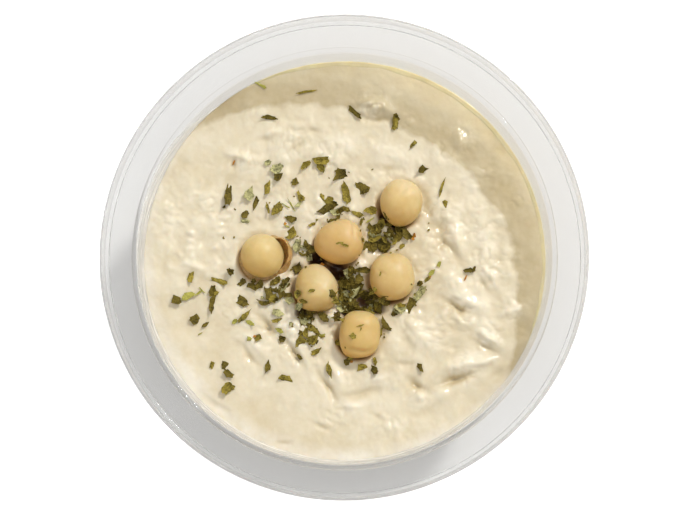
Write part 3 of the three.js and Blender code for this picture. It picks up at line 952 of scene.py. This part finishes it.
def moats_depth(x, y):
    """Depth of the pits, and of the gap round each chickpea, deepest on its shaded side."""
    depth = np.zeros_like(x)
    shade = heading(SHADE_HEADING)
    for number, offset, size, *_ in PEAS:
        middle = pea_middle(number, offset)
        dx = x - middle[0]
        dy = y - middle[1]
        away = np.hypot(dx, dy)
        facing = (dx * shade[0] + dy * shade[1]) / np.maximum(away, 0.01)
        gap = MOAT_DEPTH + SHADED_MOAT_DEPTH * facing.clip(0.0, 1.0)
        depth += gap * bell((away - (size[0] + size[1]) / 4) / MOAT_WIDTH)
    for pit_x, pit_y, radius in PITS:
        depth += PIT_DEPTH * bell(np.hypot(x - pit_x, y - pit_y) / radius)
    return depth


def curds_height(x, y):
    """Crumbly patches, and soft lumps everywhere but in the first crescent of painted shadow."""
    share = np.zeros_like(x)
    for middle_x, middle_y, spread, rise in CURDS:
        share = np.maximum(share, rise * bell(np.hypot(x - middle_x, y - middle_y) / spread))
    crumbs = np.abs(noise_at(*warped(x, y, *CURD_WARP), *CRUMBS)) ** 0.8
    crumbs = crumbs + 0.2 * np.abs(noise_at(x, y, *FINE_CRUMBS))
    height = CRUMB_HEIGHT * share * crumbs
    rng = random.Random(LUMP_SEED)
    # No soft lumps in the first crescent of painted shadow
    shadow_x, shadow_y, shadow_radius = crescent_shadow_circle(*CRESCENT_SHADOWS[0])
    for _ in range(SOFT_LUMPS):
        angle = rng.uniform(0.0, 2.0 * math.pi)
        distance = LUMP_REACH * math.sqrt(rng.random())
        lump_x = distance * math.cos(angle)
        lump_y = distance * math.sin(angle)
        radius = rng.uniform(*LUMP_RADII)
        rise = rng.choice((-0.6, 1.0, 1.0)) * rng.uniform(*LUMP_RISES) * radius
        if math.hypot(lump_x - shadow_x, lump_y - shadow_y) < shadow_radius:
            height = height + rise * bell(np.hypot(x - lump_x, y - lump_y) / radius)
    return height


def surface_height(x, y, settings):
    """Height of the hummus over the floor, in millimetres, at arrays of points."""
    high_side = math.radians(HIGH_SIDE)
    uphill = (x * math.cos(high_side) + y * math.sin(high_side)) / MOUTH_RADIUS
    level = settings.level / MM + settings.tilt / MM * uphill
    away = np.hypot(x, y)
    curdled = smooth_step(*CURDLED_SPAN, x - 0.35 * y) * (1.0 - 0.6 * smooth_step(*SMOOTH_BY_WALL, away))
    knobbly = bell((x - KNOBBLY_X) / KNOBBLY_LENGTH) * bell((y - KNOBBLY_Y) / KNOBBLY_WIDTH)
    spooned = 0.55 * bell(away / SPOONED_REACH)
    broad = sum(rise * noise_at(x, y, size, layer) for rise, size, layer in BROAD_WAVES)
    lumps = noise_at(x, y, *LUMPS)
    small_lumps = np.square(noise_at(x, y, *SMALL_LUMPS)) * 2.0
    grains = noise_at(x, y, *GRAINS)
    curd = settings.curd / MM
    height = level + folds_height(x, y) + broad + curds_height(x, y) - moats_depth(x, y)
    height += curd * (0.18 + 0.28 * curdled + 0.3 * knobbly + spooned) * lumps
    height += curd * (0.08 + 0.05 * curdled + 0.3 * knobbly + spooned) * small_lumps
    height += (0.015 + 0.02 * curdled) * grains
    return height


def disc_grid(count):
    """Even points over the unit disc, in a square grid with its sides bent to the circle."""
    steps = np.linspace(-1.0, 1.0, count)
    a, b = np.meshgrid(steps, steps)
    wide = np.abs(a) > np.abs(b)
    radius = np.where(wide, a, b)
    safe_a = np.where(a == 0.0, 1.0, a)
    safe_b = np.where(b == 0.0, 1.0, b)
    angle = np.where(wide, math.pi / 4 * b / safe_a, math.pi / 2 - math.pi / 4 * a / safe_b)
    angle = np.where((a == 0.0) & (b == 0.0), 0.0, angle)
    return radius * np.cos(angle), radius * np.sin(angle)


def border_of_grid(count):
    """Indices of the grid's outer points in order round it."""
    low = list(range(count))
    right = [row * count + count - 1 for row in range(1, count)]
    high = [(count - 1) * count + column for column in range(count - 2, -1, -1)]
    left = [row * count for row in range(count - 2, 0, -1)]
    return low + right + high + left


def build_hummus(settings, sheet):
    """The hummus as one closed body: its surface, a side just inside the wall's sheet, and its underside."""
    count = settings.grid
    unit_x, unit_y = disc_grid(count)
    edge_radius = wall_radius(settings.level / MM) + INTO_WALL
    x = unit_x * edge_radius
    y = unit_y * edge_radius
    z = surface_height(x, y, settings)
    top = np.column_stack((x.ravel(), y.ravel(), z.ravel()))
    border = border_of_grid(count)
    around = np.arctan2(top[border, 1], top[border, 0])
    centre, *section = foot_face(sheet, INTO_WALL, 4)
    rings = [ring(radius, around, height) for radius, height in reversed(section)]
    points = np.vstack([top, *rings, [(0.0, 0.0, centre[1])]])
    faces = grid_faces(count, count)
    upper = border
    for k in range(len(rings)):
        first = len(top) + k * len(border)
        lower = list(range(first, first + len(border)))
        for i in range(len(border)):
            j = (i + 1) % len(border)
            faces.append((upper[i], lower[i], lower[j], upper[j]))
        upper = lower
    last = len(points) - 1
    faces.extend((upper[i], last, upper[(i + 1) % len(upper)]) for i in range(len(upper)))
    hummus = mesh_object("hummus_body", points, faces, hummus_paste(settings))
    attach(hummus, BODY)
    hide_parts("hummus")


def build_oil_line(settings):
    """A thin line of oil at the wall, on the far and right sides."""
    angles = np.radians(np.linspace(*OIL_SPAN, 420))
    fade = fading_ends(angles, 0.5, 0.6)
    wander = noise_round(angles, NOISE_RADIUS, 6.0, 11.0)
    width = fade * (1.1 + 0.35 * wander).clip(0.6, 1.5)
    rows = []
    for share, lift in OIL_SECTION:
        row = ring(wall_radius(settings.level / MM) - share * width, angles, 0.0)
        row[:, 2] = surface_height(row[:, 0], row[:, 1], settings) + lift * fade
        rows.append(row)
    faces = grid_faces(len(rows), len(angles))
    first = (len(rows) - 1) * len(angles)
    for i in range(len(angles) - 1):
        faces.append((first + i, first + i + 1, i + 1, i))
    oil = mesh_object("oil_line", np.vstack(rows), faces, wall_oil(settings))
    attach(oil, BODY)


def build_wall_smears(settings):
    """A thin ragged film of hummus that clings to the wall above the level, left and near sides."""
    angles = np.radians(np.linspace(*FILM_SPAN, 520))
    ragged = 1.2 * noise_round(angles, NOISE_RADIUS, 7.0, 21.0)
    ragged = ragged + 0.8 * noise_round(angles, NOISE_RADIUS, 1.6, 22.0)
    reach = fading_ends(angles, 0.4, 0.4) * (FILM_REACH + ragged).clip(0.15, FILM_REACH + 0.2)
    edge = wall_radius(settings.level / MM)
    base = surface_height(edge * np.cos(angles), edge * np.sin(angles), settings)
    rows = []
    for share, stand in FILM_SECTION:
        height = base - FILM_FOOT + share * (reach + FILM_FOOT)
        rows.append(ring(wall_radius(height) - stand, angles, height))
    faces = grid_faces(len(rows), len(angles))
    smears = mesh_object("wall_smears", np.vstack(rows), faces, wall_film(settings))
    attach(smears, BODY)


# ---------------------------------------------------------------- chickpeas


def pea_reach(direction, size, turn, squareness, narrowing, beak, marks):
    """Distance from a chickpea's middle to its skin along each row of directions."""
    length_way = heading(turn)
    width_way = heading(turn + 90)
    girth = 1.0 - narrowing * (direction @ length_way)
    parts = (
        np.abs(direction @ length_way) / (size[0] / 2),
        np.abs(direction @ width_way) / (girth * size[1] / 2),
        np.abs(direction[:, 2]) / (girth * size[2] / 2),
    )
    ovoid = sum(part ** squareness for part in parts) ** (-1.0 / squareness)
    from_beak = np.arccos(np.clip(direction @ heading(*beak), -1.0, 1.0))
    reach = ovoid * (1.0 + BEAK_RISE * bell(from_beak / BEAK_SPREAD))
    radius = np.mean(size) / 2
    for azimuth, elevation, length, width, mark_turn, rise in marks:
        middle = heading(azimuth, elevation)
        east = heading(azimuth + 90)
        u = direction @ east * radius
        v = direction @ np.cross(middle, east) * radius
        facing = smooth_step(0.1, 0.5, direction @ middle)
        away = np.hypot(*in_oval(u, v, length, width, math.radians(mark_turn)))
        reach = reach + rise * facing * bell(away)
    return reach


def pea_middle(number, offset):
    low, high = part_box(f"chickpea_{number}")
    middle = (low + high) / (2 * MM)
    return np.array((middle.x + offset[0], middle.y + offset[1], middle.z))


def build_chickpea(spec, settings):
    number, offset, size, turn, squareness, narrowing, beak, tint, marks = spec
    middle = pea_middle(number, offset)
    angles = full_turn(PEA_SEGMENTS)
    rings = []
    for k in range(PEA_RINGS + 2):
        up = -math.pi / 2 + math.pi * k / (PEA_RINGS + 1)
        ways = ring(math.cos(up), angles, math.sin(up))
        reach = pea_reach(ways, size, turn, squareness, narrowing, beak, marks)
        skin = ways * reach[:, None]
        places = [Vector(point / RIPPLE_SIZE) + Vector((number, 0, 0)) for point in skin]
        ripple = [RIPPLE_HEIGHT * noise.noise(place) for place in places]
        rings.append(skin + ways * np.array(ripple)[:, None] + middle)
    points, faces = capped_rings(rings[0][0], rings[1:-1], rings[-1][0])
    pea = mesh_object(f"cooked_chickpea_{number}", points, faces, chickpea_skin(settings, number, tint))
    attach(pea, BODY)
    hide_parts(f"chickpea_{number}")


def build_torn_skin(settings):
    """Skin that has slipped off the third chickpea and stands round its foot."""
    middle = pea_middle(3, PEAS[2][1])
    outline = np.array(SKIN_OUTLINE)
    degrees = np.linspace(-180.0, 180.0, 180, endpoint=False)
    top_radius, top_height, foot_radius = (
        np.interp(degrees, outline[:, 0], outline[:, k]) for k in (1, 2, 3)
    )
    angles = np.radians(degrees)
    top_height = top_height + 0.35 * noise_round(angles, 7.0, 1.1, 31.0)
    sheet = [
        (np.full_like(angles, 3.8), top_height - 2.6),
        (np.minimum(5.2, top_radius - 0.9), top_height - 2.3),
        (top_radius - 0.5, top_height - 1.5),
        (top_radius - 0.1, top_height - 0.3),
        (top_radius, top_height),
    ]
    for share in np.linspace(0.0, 1.0, 10):
        bulge = 0.35 * math.sin(math.pi * share) + 0.14
        radius = top_radius + (foot_radius - top_radius) * share ** 0.7 + bulge
        sheet.append((radius, top_height - 0.15 - (top_height + 2.2) * share))
    rows = []
    for radius, height in sheet:
        crease = 0.12 * noise_round(angles, 7.0, 1.5, 33.0, height)
        rows.append(ring(radius + crease, angles, height) + middle)
    faces = grid_faces(len(rows), len(angles), closed=True)
    skin = mesh_object("chickpea_3_torn_skin", np.vstack(rows), faces, torn_skin(settings))
    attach(skin, BODY)


# ---------------------------------------------------------------- parsley


def torn_outline(rng, corners):
    """Points round an uneven straight-sided scrap of about unit radius, in order."""
    turns = [2.0 * math.pi * (k + rng.uniform(-0.3, 0.3)) / corners for k in range(corners)]
    reach = [rng.choice((0.72, 0.95, 1.1)) * rng.uniform(0.88, 1.12) for _ in turns]
    corner_points = [(r * math.cos(t), r * math.sin(t)) for r, t in zip(reach, turns)]
    points = []
    for (ax, ay), (bx, by) in zip(corner_points, corner_points[1:] + corner_points[:1]):
        points.append((ax, ay))
        for share in (0.33, 0.67):
            dent = 1.0 + rng.uniform(-0.16, 0.08)
            points.append((dent * (ax + (bx - ax) * share), dent * (ay + (by - ay) * share)))
    return np.array(points)


def flake_faces(samples):
    """Faces of a scrap: two sheets, each a middle point and its rings, joined round the rim."""
    faces = []
    rim = 1 + (len(FLAKE_RINGS) - 1) * samples
    size = rim + samples
    for base in (0, size):
        for k in range(samples):
            j = (k + 1) % samples
            sheet = [(base, base + 1 + k, base + 1 + j)]
            for low in range(base + 1, base + rim, samples):
                sheet.append((low + k, low + samples + k, low + samples + j, low + j))
            faces.extend(face if base == 0 else face[::-1] for face in sheet)
    for k in range(samples):
        j = (k + 1) % samples
        faces.append((rim + k, size + rim + k, size + rim + j, rim + j))
    return faces


def flake_mesh(rng, length, width):
    """Points and faces of one folded and twisted scrap of leaf lying flat round the origin."""
    edge = torn_outline(rng, rng.choice((5, 6, 6, 7, 8)))
    bent = min(width, MOST_BENT_WIDTH)
    crease = rng.uniform(*CREASES) * bent
    dish = rng.uniform(*DISHES) * bent
    twist = rng.uniform(*TWISTS) * bent
    points = []
    for face_height in (LEAF_HALF, -LEAF_HALF):
        points.append((0.0, 0.0, face_height))
        for share in FLAKE_RINGS:
            u = share * edge[:, 0]
            v = share * edge[:, 1]
            z = 0.5 * crease * np.abs(v) + dish * u * u + twist * u * v + 0.05 * np.sin(5.0 * u + 3.0 * v)
            points.extend(zip(u * length / 2, v * width / 2, z + face_height))
    return np.array(points), flake_faces(len(edge))


def shown_surface():
    """A function that gives the height and normal of whatever lies uppermost at x, y."""
    graph = bpy.context.evaluated_depsgraph_get()
    names = ["hummus_body", "chickpea_3_torn_skin"]
    names += [f"cooked_chickpea_{spec[0]}" for spec in PEAS]
    trees = [BVHTree.FromObject(bpy.data.objects[name], graph) for name in names]

    def at(x, y):
        start = Vector((x * MM, y * MM, 0.1))
        best = None
        for tree in trees:
            hit, normal, _, _ = tree.ray_cast(start, Vector((0.0, 0.0, -1.0)))
            if hit and (best is None or hit.z > best[0].z):
                best = (hit, normal)
        return best[0].z / MM, best[1]

    return at


def lay_flake(rng, surface, x, y, length, width, turn, lift, tilt):
    """A flake on the surface below it, turned, tipped by up to tilt degrees and lifted."""
    points, faces = flake_mesh(rng, length, width)
    height, normal = surface(x, y)
    around = ((FOOTING, 0), (-FOOTING, 0), (0, FOOTING), (0, -FOOTING))
    sides = [surface(x + dx, y + dy) for dx, dy in around]
    mean_height = (height * 2 + sum(side[0] for side in sides)) / 6
    mean_normal = normal * 2
    for side in sides:
        mean_normal = mean_normal + side[1]
    up = (mean_normal.normalized() + Vector((0.0, 0.0, 0.6))).normalized()
    lean = math.radians(rng.uniform(-tilt, tilt))
    roll = math.radians(rng.uniform(-tilt, tilt))
    spin = Matrix.Rotation(math.radians(turn), 3, "Z")
    tip = Matrix.Rotation(lean, 3, "X") @ Matrix.Rotation(roll, 3, "Y")
    stand = Vector((0.0, 0.0, 1.0)).rotation_difference(up).to_matrix()
    matrix = np.array(stand @ spin @ tip)
    ground = max(mean_height, height)
    return points @ matrix.T + np.array((x, y, ground + lift)), faces


def join_flakes(name, flakes, light, dark):
    points = []
    faces = []
    count = 0
    for corners, sides in flakes:
        points.append(corners)
        faces.extend(tuple(index + count for index in side) for side in sides)
        count += len(corners)
    leaf = dried_leaf(name, light, dark)
    piece = mesh_object(name, np.vstack(points), faces, leaf, math.radians(35))
    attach(piece, BODY)


def placed_flakes(rng, surface, rows, lift, tilt, growth):
    flakes = []
    for x, y, length, width, turn in rows:
        flakes.append(lay_flake(rng, surface, x, y, growth * length, growth * width, turn, lift, tilt))
    return flakes


def heaped_flakes(rng, surface, kind_share):
    """Flakes dropped in heaps; those kept are the given share of the draws, low to high."""
    flakes = []
    for heap_x, heap_y, radius, count, pile in HEAPS:
        for _ in range(count):
            distance = radius * math.sqrt(rng.random())
            angle = rng.uniform(0.0, 2.0 * math.pi)
            x = heap_x + distance * math.cos(angle)
            y = heap_y + distance * math.sin(angle)
            length = rng.uniform(*HEAP_LENGTHS)
            width = length * rng.uniform(0.4, 0.75)
            lift = 0.15 + pile * rng.random() * (1.0 - distance / radius)
            pick = rng.random()
            if kind_share[0] <= pick < kind_share[1] and not on_chickpea(x, y) and not in_pit(x, y):
                turn = rng.uniform(0.0, 180.0)
                flakes.append(lay_flake(rng, surface, x, y, length, width, turn, lift, HEAP_TILT))
    return flakes


def in_pit(x, y):
    for pit_x, pit_y, radius in PITS[:OPEN_PITS]:
        if math.hypot(x - pit_x, y - pit_y) < BARE_PIT * radius:
            return True
    return False


def on_chickpea(x, y):
    for number, offset, size, *_ in PEAS:
        middle = pea_middle(number, offset)
        if math.hypot(x - middle[0], y - middle[1]) < BARE_CHICKPEA * size[1]:
            return True
    return False


def crumbs_of_leaf(rng, surface, count):
    """Small specks of leaf, thickest round the chickpeas."""
    flakes = []
    for _ in range(count):
        angle = rng.uniform(0.0, 2.0 * math.pi)
        distance = SPECKS_REACH * rng.random() ** 0.7
        x = SPECKS_X + 1.1 * distance * math.cos(angle)
        y = SPECKS_Y + distance * math.sin(angle)
        size = rng.uniform(*SPECK_SIZES)
        if not on_chickpea(x, y):
            turn = rng.uniform(0.0, 180.0)
            flake = lay_flake(rng, surface, x, y, size, size * 0.7, turn, SPECK_LIFT, SPECK_TILT)
            flakes.append(flake)
    return flakes


def shaded(colour, factor):
    return tuple(min(1.0, part * factor) for part in colour)


def build_parsley(settings):
    """Dried parsley in four kinds, and bits of spice; each kind is one piece."""
    surface = shown_surface()
    rng = random.Random(settings.seed)
    for name, colour, rows, share in (
        ("parsley_dark", settings.dark_leaf, DARK_FLAKES, (0.0, 0.62)),
        ("parsley_olive", settings.olive_leaf, OLIVE_FLAKES, (0.62, 0.88)),
        ("parsley_pale", settings.pale_leaf, PALE_FLAKES, (0.88, 1.0)),
    ):
        flakes = placed_flakes(rng, surface, rows, *LAID)
        flakes += heaped_flakes(rng, surface, share)
        if name == "parsley_olive":
            flakes += placed_flakes(rng, surface, FLAKES_ON_PEAS, *LAID_ON_PEAS)
            flakes += crumbs_of_leaf(rng, surface, settings.specks)
        join_flakes(name, flakes, shaded(colour, 2.1), shaded(colour, 0.28))
    flakes = placed_flakes(rng, surface, FRESH_FLAKES + STEMS, *LAID_FRESH)
    fresh = settings.fresh_leaf
    join_flakes("parsley_fresh", flakes, shaded(fresh, 1.25), shaded(fresh, 0.6))
    flakes = placed_flakes(rng, surface, ORANGE_BITS, *LAID_BITS)
    join_flakes("spice_bits", flakes, settings.orange, shaded(settings.orange, 0.5))


# ---------------------------------------------------------------- stage


def build_floor(settings):
    corners = [(x * FLOOR_REACH, y * FLOOR_REACH, 0.0) for x, y in ((-1, -1), (1, -1), (1, 1), (-1, 1))]
    material, tree, shader = new_material("studio_floor")
    set_inputs(shader, {
        "Base Color": FLOOR_COLOUR,
        "Roughness": 0.9,
        "Specular IOR Level": 0.0,
    })
    seen = node(tree, "LightPath").outputs["Is Camera Ray"]
    glow = node(tree, "Emission", {"Strength": arithmetic(tree, "MULTIPLY", seen, settings.floor_glow)})
    show(tree, node(tree, "AddShader", {0: glow.outputs[0], 1: shader.outputs[0]}))
    floor = mesh_object("floor", corners, ((0, 1, 2, 3),), material)


def build_sun(settings):
    light = bpy.data.lights.new("key_light", "SUN")
    light.energy = settings.sun_strength
    light.angle = settings.sun_softness
    light.color = WARM_WHITE
    lamp = bpy.data.objects.new("key_light", light)
    towards = Vector(heading(math.degrees(settings.sun_heading), math.degrees(settings.sun_height)))
    lamp.rotation_euler = towards.to_track_quat("Z", "Y").to_euler()
    lamp.location = towards
    bpy.context.scene.collection.objects.link(lamp)


def build_sky(settings):
    """Even light from above that falls off towards the horizon."""
    world = bpy.data.worlds.new("studio")
    bpy.context.scene.world = world
    world.use_nodes = True
    tree = world.node_tree
    way = node(tree, "TexCoord").outputs["Generated"]
    height = node(tree, "SeparateXYZ", {0: way}).outputs["Z"]
    set_inputs(tree.nodes["Background"], {
        "Color": rgba(NO_TINT),
        "Strength": map_range(tree, height, 0.0, SKY_TOP, settings.horizon_light, settings.sky_light),
    })


def build_camera(settings):
    scene = bpy.context.scene
    camera = bpy.data.cameras.new("camera")
    camera.lens = settings.lens
    camera.sensor_width = 36.0
    camera.clip_start = 0.01
    lens = bpy.data.objects.new("camera", camera)
    lean = settings.camera_lean
    near_side = Vector(NEAR_SIDE) * math.sin(lean)
    back = (near_side + Vector((0.0, 0.0, math.cos(lean)))).normalized()
    target = Vector((settings.aim_x, settings.aim_y, POT_HEIGHT * MM))
    right = (Vector((1.0, 0.0, 0.0)) - back * back.x).normalized()
    placed = Matrix((right, back.cross(right), back)).transposed().to_4x4()
    placed.translation = target + back * settings.camera_distance
    lens.matrix_world = placed
    scene.collection.objects.link(lens)
    scene.camera = lens
    scene.view_settings.view_transform = "Standard"


# ---------------------------------------------------------------- settings


def colour_property(label, description, default):
    return FloatVectorProperty(
        name=label, description=description, default=default, subtype="COLOR", size=3, min=0.0, max=1.0
    )


def length_property(label, description, default):
    return FloatProperty(name=label, description=description, default=default, unit="LENGTH", precision=4)


def angle_property(label, description, degrees):
    return FloatProperty(name=label, description=description, default=math.radians(degrees), unit="ROTATION")


class PotSettings(bpy.types.PropertyGroup):
    sheet: length_property("Sheet", "Thickness of the plastic", 0.0005)
    plastic_colour: colour_property("Plastic", "Tint of the clear plastic", (0.862, 0.862, 0.858))
    shadow_tint: colour_property("Shadow tint", "Light that a face lets through", (0.942, 0.942, 0.935))
    plastic_roughness: FloatProperty(
        name="Roughness", description="Roughness of the plastic", default=0.04, min=0.0, max=1.0
    )


class HummusSettings(bpy.types.PropertyGroup):
    level: length_property("Level", "Mean height of the hummus over the floor", 0.0296)
    tilt: length_property("Tilt", "Rise of the surface towards its high side", 0.0015)
    curd: length_property("Curd", "Height of the curdled lumps", 0.0007)
    grid: IntProperty(name="Grid", description="Points along each side of the surface", default=296, min=20)
    hummus_light: colour_property("Hummus", "Paler hummus", (0.80, 0.73, 0.57))
    hummus_dark: colour_property("Hummus shade", "Yellower hummus", (0.72, 0.63, 0.44))
    oil_light: colour_property("Oil", "Settled oil, thin", (0.71, 0.61, 0.37))
    oil_dark: colour_property("Oil shade", "Settled oil, thick", (0.62, 0.52, 0.28))
    film_light: colour_property("Film", "Paler film on the wall", (0.90, 0.87, 0.80))
    film_dark: colour_property("Film shade", "Yellower film on the wall", (0.84, 0.80, 0.72))


class ChickpeaSettings(bpy.types.PropertyGroup):
    pea_light: colour_property("Chickpea", "Paler chickpea skin", (0.71, 0.525, 0.215))
    pea_dark: colour_property("Chickpea shade", "Browner chickpea skin", (0.62, 0.425, 0.14))
    torn_skin_light: colour_property("Torn skin", "Paler torn skin", (0.62, 0.40, 0.15))
    torn_skin_dark: colour_property("Torn skin shade", "Browner torn skin", (0.44, 0.25, 0.06))


class ParsleySettings(bpy.types.PropertyGroup):
    seed: IntProperty(name="Seed", description="Seed of the scattered flakes", default=11)
    specks: IntProperty(name="Specks", description="Number of small specks", default=90, min=0)
    dark_leaf: colour_property("Dark leaf", "Darkest flakes", (0.105, 0.078, 0.012))
    olive_leaf: colour_property("Olive leaf", "Flakes of middle colour", (0.200, 0.155, 0.026))
    pale_leaf: colour_property("Pale leaf", "Undersides of flakes", (0.320, 0.300, 0.140))
    fresh_leaf: colour_property("Fresh leaf", "Yellow-green flakes", (0.400, 0.370, 0.080))
    orange: colour_property("Orange bits", "Bits of spice", (0.620, 0.270, 0.040))


class StageSettings(bpy.types.PropertyGroup):
    sun_strength: FloatProperty(name="Key light", description="Strength of the key light", default=1.86)
    sun_softness: angle_property("Key softness", "Width of the key light in the sky", 7.0)
    sun_heading: angle_property("Key heading", "Where the key light stands", 51)
    sun_height: angle_property("Key height", "Angle of the key light over the floor", 42)
    sky_light: FloatProperty(name="Sky", description="Strength of the light from above", default=0.764)
    horizon_light: FloatProperty(name="Horizon", description="Strength at the horizon", default=0.62)
    floor_glow: FloatProperty(name="Floor glow", description="Lightening of the floor", default=0.6)
    camera_distance: length_property("Camera distance", "From the camera to the rim", 0.7)
    camera_lean: angle_property("Camera lean", "Lean of the view off vertical", 7.35)
    lens: FloatProperty(name="Lens", description="Focal length in millimetres", default=151.8)
    aim_x: length_property("Aim x", "Where the camera looks, across", 0.00033)
    aim_y: length_property("Aim y", "Where the camera looks, along", -0.00078)


# ---------------------------------------------------------------- operators


class HUMMUS_OT_pot(bpy.types.Operator):
    """Build the clear pot"""

    bl_idname = "hummus.pot"
    bl_label = "Clear pot"

    def execute(self, context):
        build_pot(context.scene.hummus_pot)
        return {"FINISHED"}


class HUMMUS_OT_hummus(bpy.types.Operator):
    """Build the hummus, the line of oil at the wall and the film that the hummus leaves on the wall"""

    bl_idname = "hummus.hummus"
    bl_label = "Hummus"

    def execute(self, context):
        settings = context.scene.hummus_fill
        build_hummus(settings, context.scene.hummus_pot.sheet / MM)
        build_oil_line(settings)
        build_wall_smears(settings)
        return {"FINISHED"}


class HUMMUS_OT_chickpeas(bpy.types.Operator):
    """Build the six chickpeas and the torn skin of the third"""

    bl_idname = "hummus.chickpeas"
    bl_label = "Chickpeas"

    def execute(self, context):
        settings = context.scene.hummus_chickpeas
        for spec in PEAS:
            build_chickpea(spec, settings)
        build_torn_skin(settings)
        return {"FINISHED"}


class HUMMUS_OT_parsley(bpy.types.Operator):
    """Lay the dried parsley and the bits of spice"""

    bl_idname = "hummus.parsley"
    bl_label = "Dried parsley"

    def execute(self, context):
        build_parsley(context.scene.hummus_parsley)
        return {"FINISHED"}


class HUMMUS_OT_stage(bpy.types.Operator):
    """Set the floor, the lights and the camera"""

    bl_idname = "hummus.stage"
    bl_label = "Stage"

    def execute(self, context):
        settings = context.scene.hummus_stage
        build_floor(settings)
        build_sun(settings)
        build_sky(settings)
        build_camera(settings)
        return {"FINISHED"}


class HUMMUS_PT_panel(bpy.types.Panel):
    """Sizes, colours and pieces of the pot of hummus"""

    bl_idname = "HUMMUS_PT_panel"
    bl_label = "Pot of Hummus"
    bl_space_type = "VIEW_3D"
    bl_region_type = "UI"
    bl_category = "Hummus"

    def draw(self, context):
        for tool, holder, _ in PIECES:
            settings = getattr(context.scene, holder)
            box = self.layout.box()
            box.operator(tool.bl_idname)
            for name in settings.bl_rna.properties.keys():
                if name not in ("rna_type", "name"):
                    box.prop(settings, name)


# Operators in the order they run, each with the name and the class of its settings
PIECES = (
    (HUMMUS_OT_pot, "hummus_pot", PotSettings),
    (HUMMUS_OT_hummus, "hummus_fill", HummusSettings),
    (HUMMUS_OT_chickpeas, "hummus_chickpeas", ChickpeaSettings),
    (HUMMUS_OT_parsley, "hummus_parsley", ParsleySettings),
    (HUMMUS_OT_stage, "hummus_stage", StageSettings),
)


def register():
    for tool, holder, settings in PIECES:
        bpy.utils.register_class(settings)
        setattr(bpy.types.Scene, holder, PointerProperty(type=settings))
        bpy.utils.register_class(tool)
    bpy.utils.register_class(HUMMUS_PT_panel)


def unregister():
    bpy.utils.unregister_class(HUMMUS_PT_panel)
    for tool, holder, settings in reversed(PIECES):
        bpy.utils.unregister_class(tool)
        delattr(bpy.types.Scene, holder)
        bpy.utils.unregister_class(settings)


def main():
    register()
    for tool, _, _ in PIECES:
        category, name = tool.bl_idname.split(".")
        getattr(getattr(bpy.ops, category), name)()


if __name__ == "__main__":
    main()
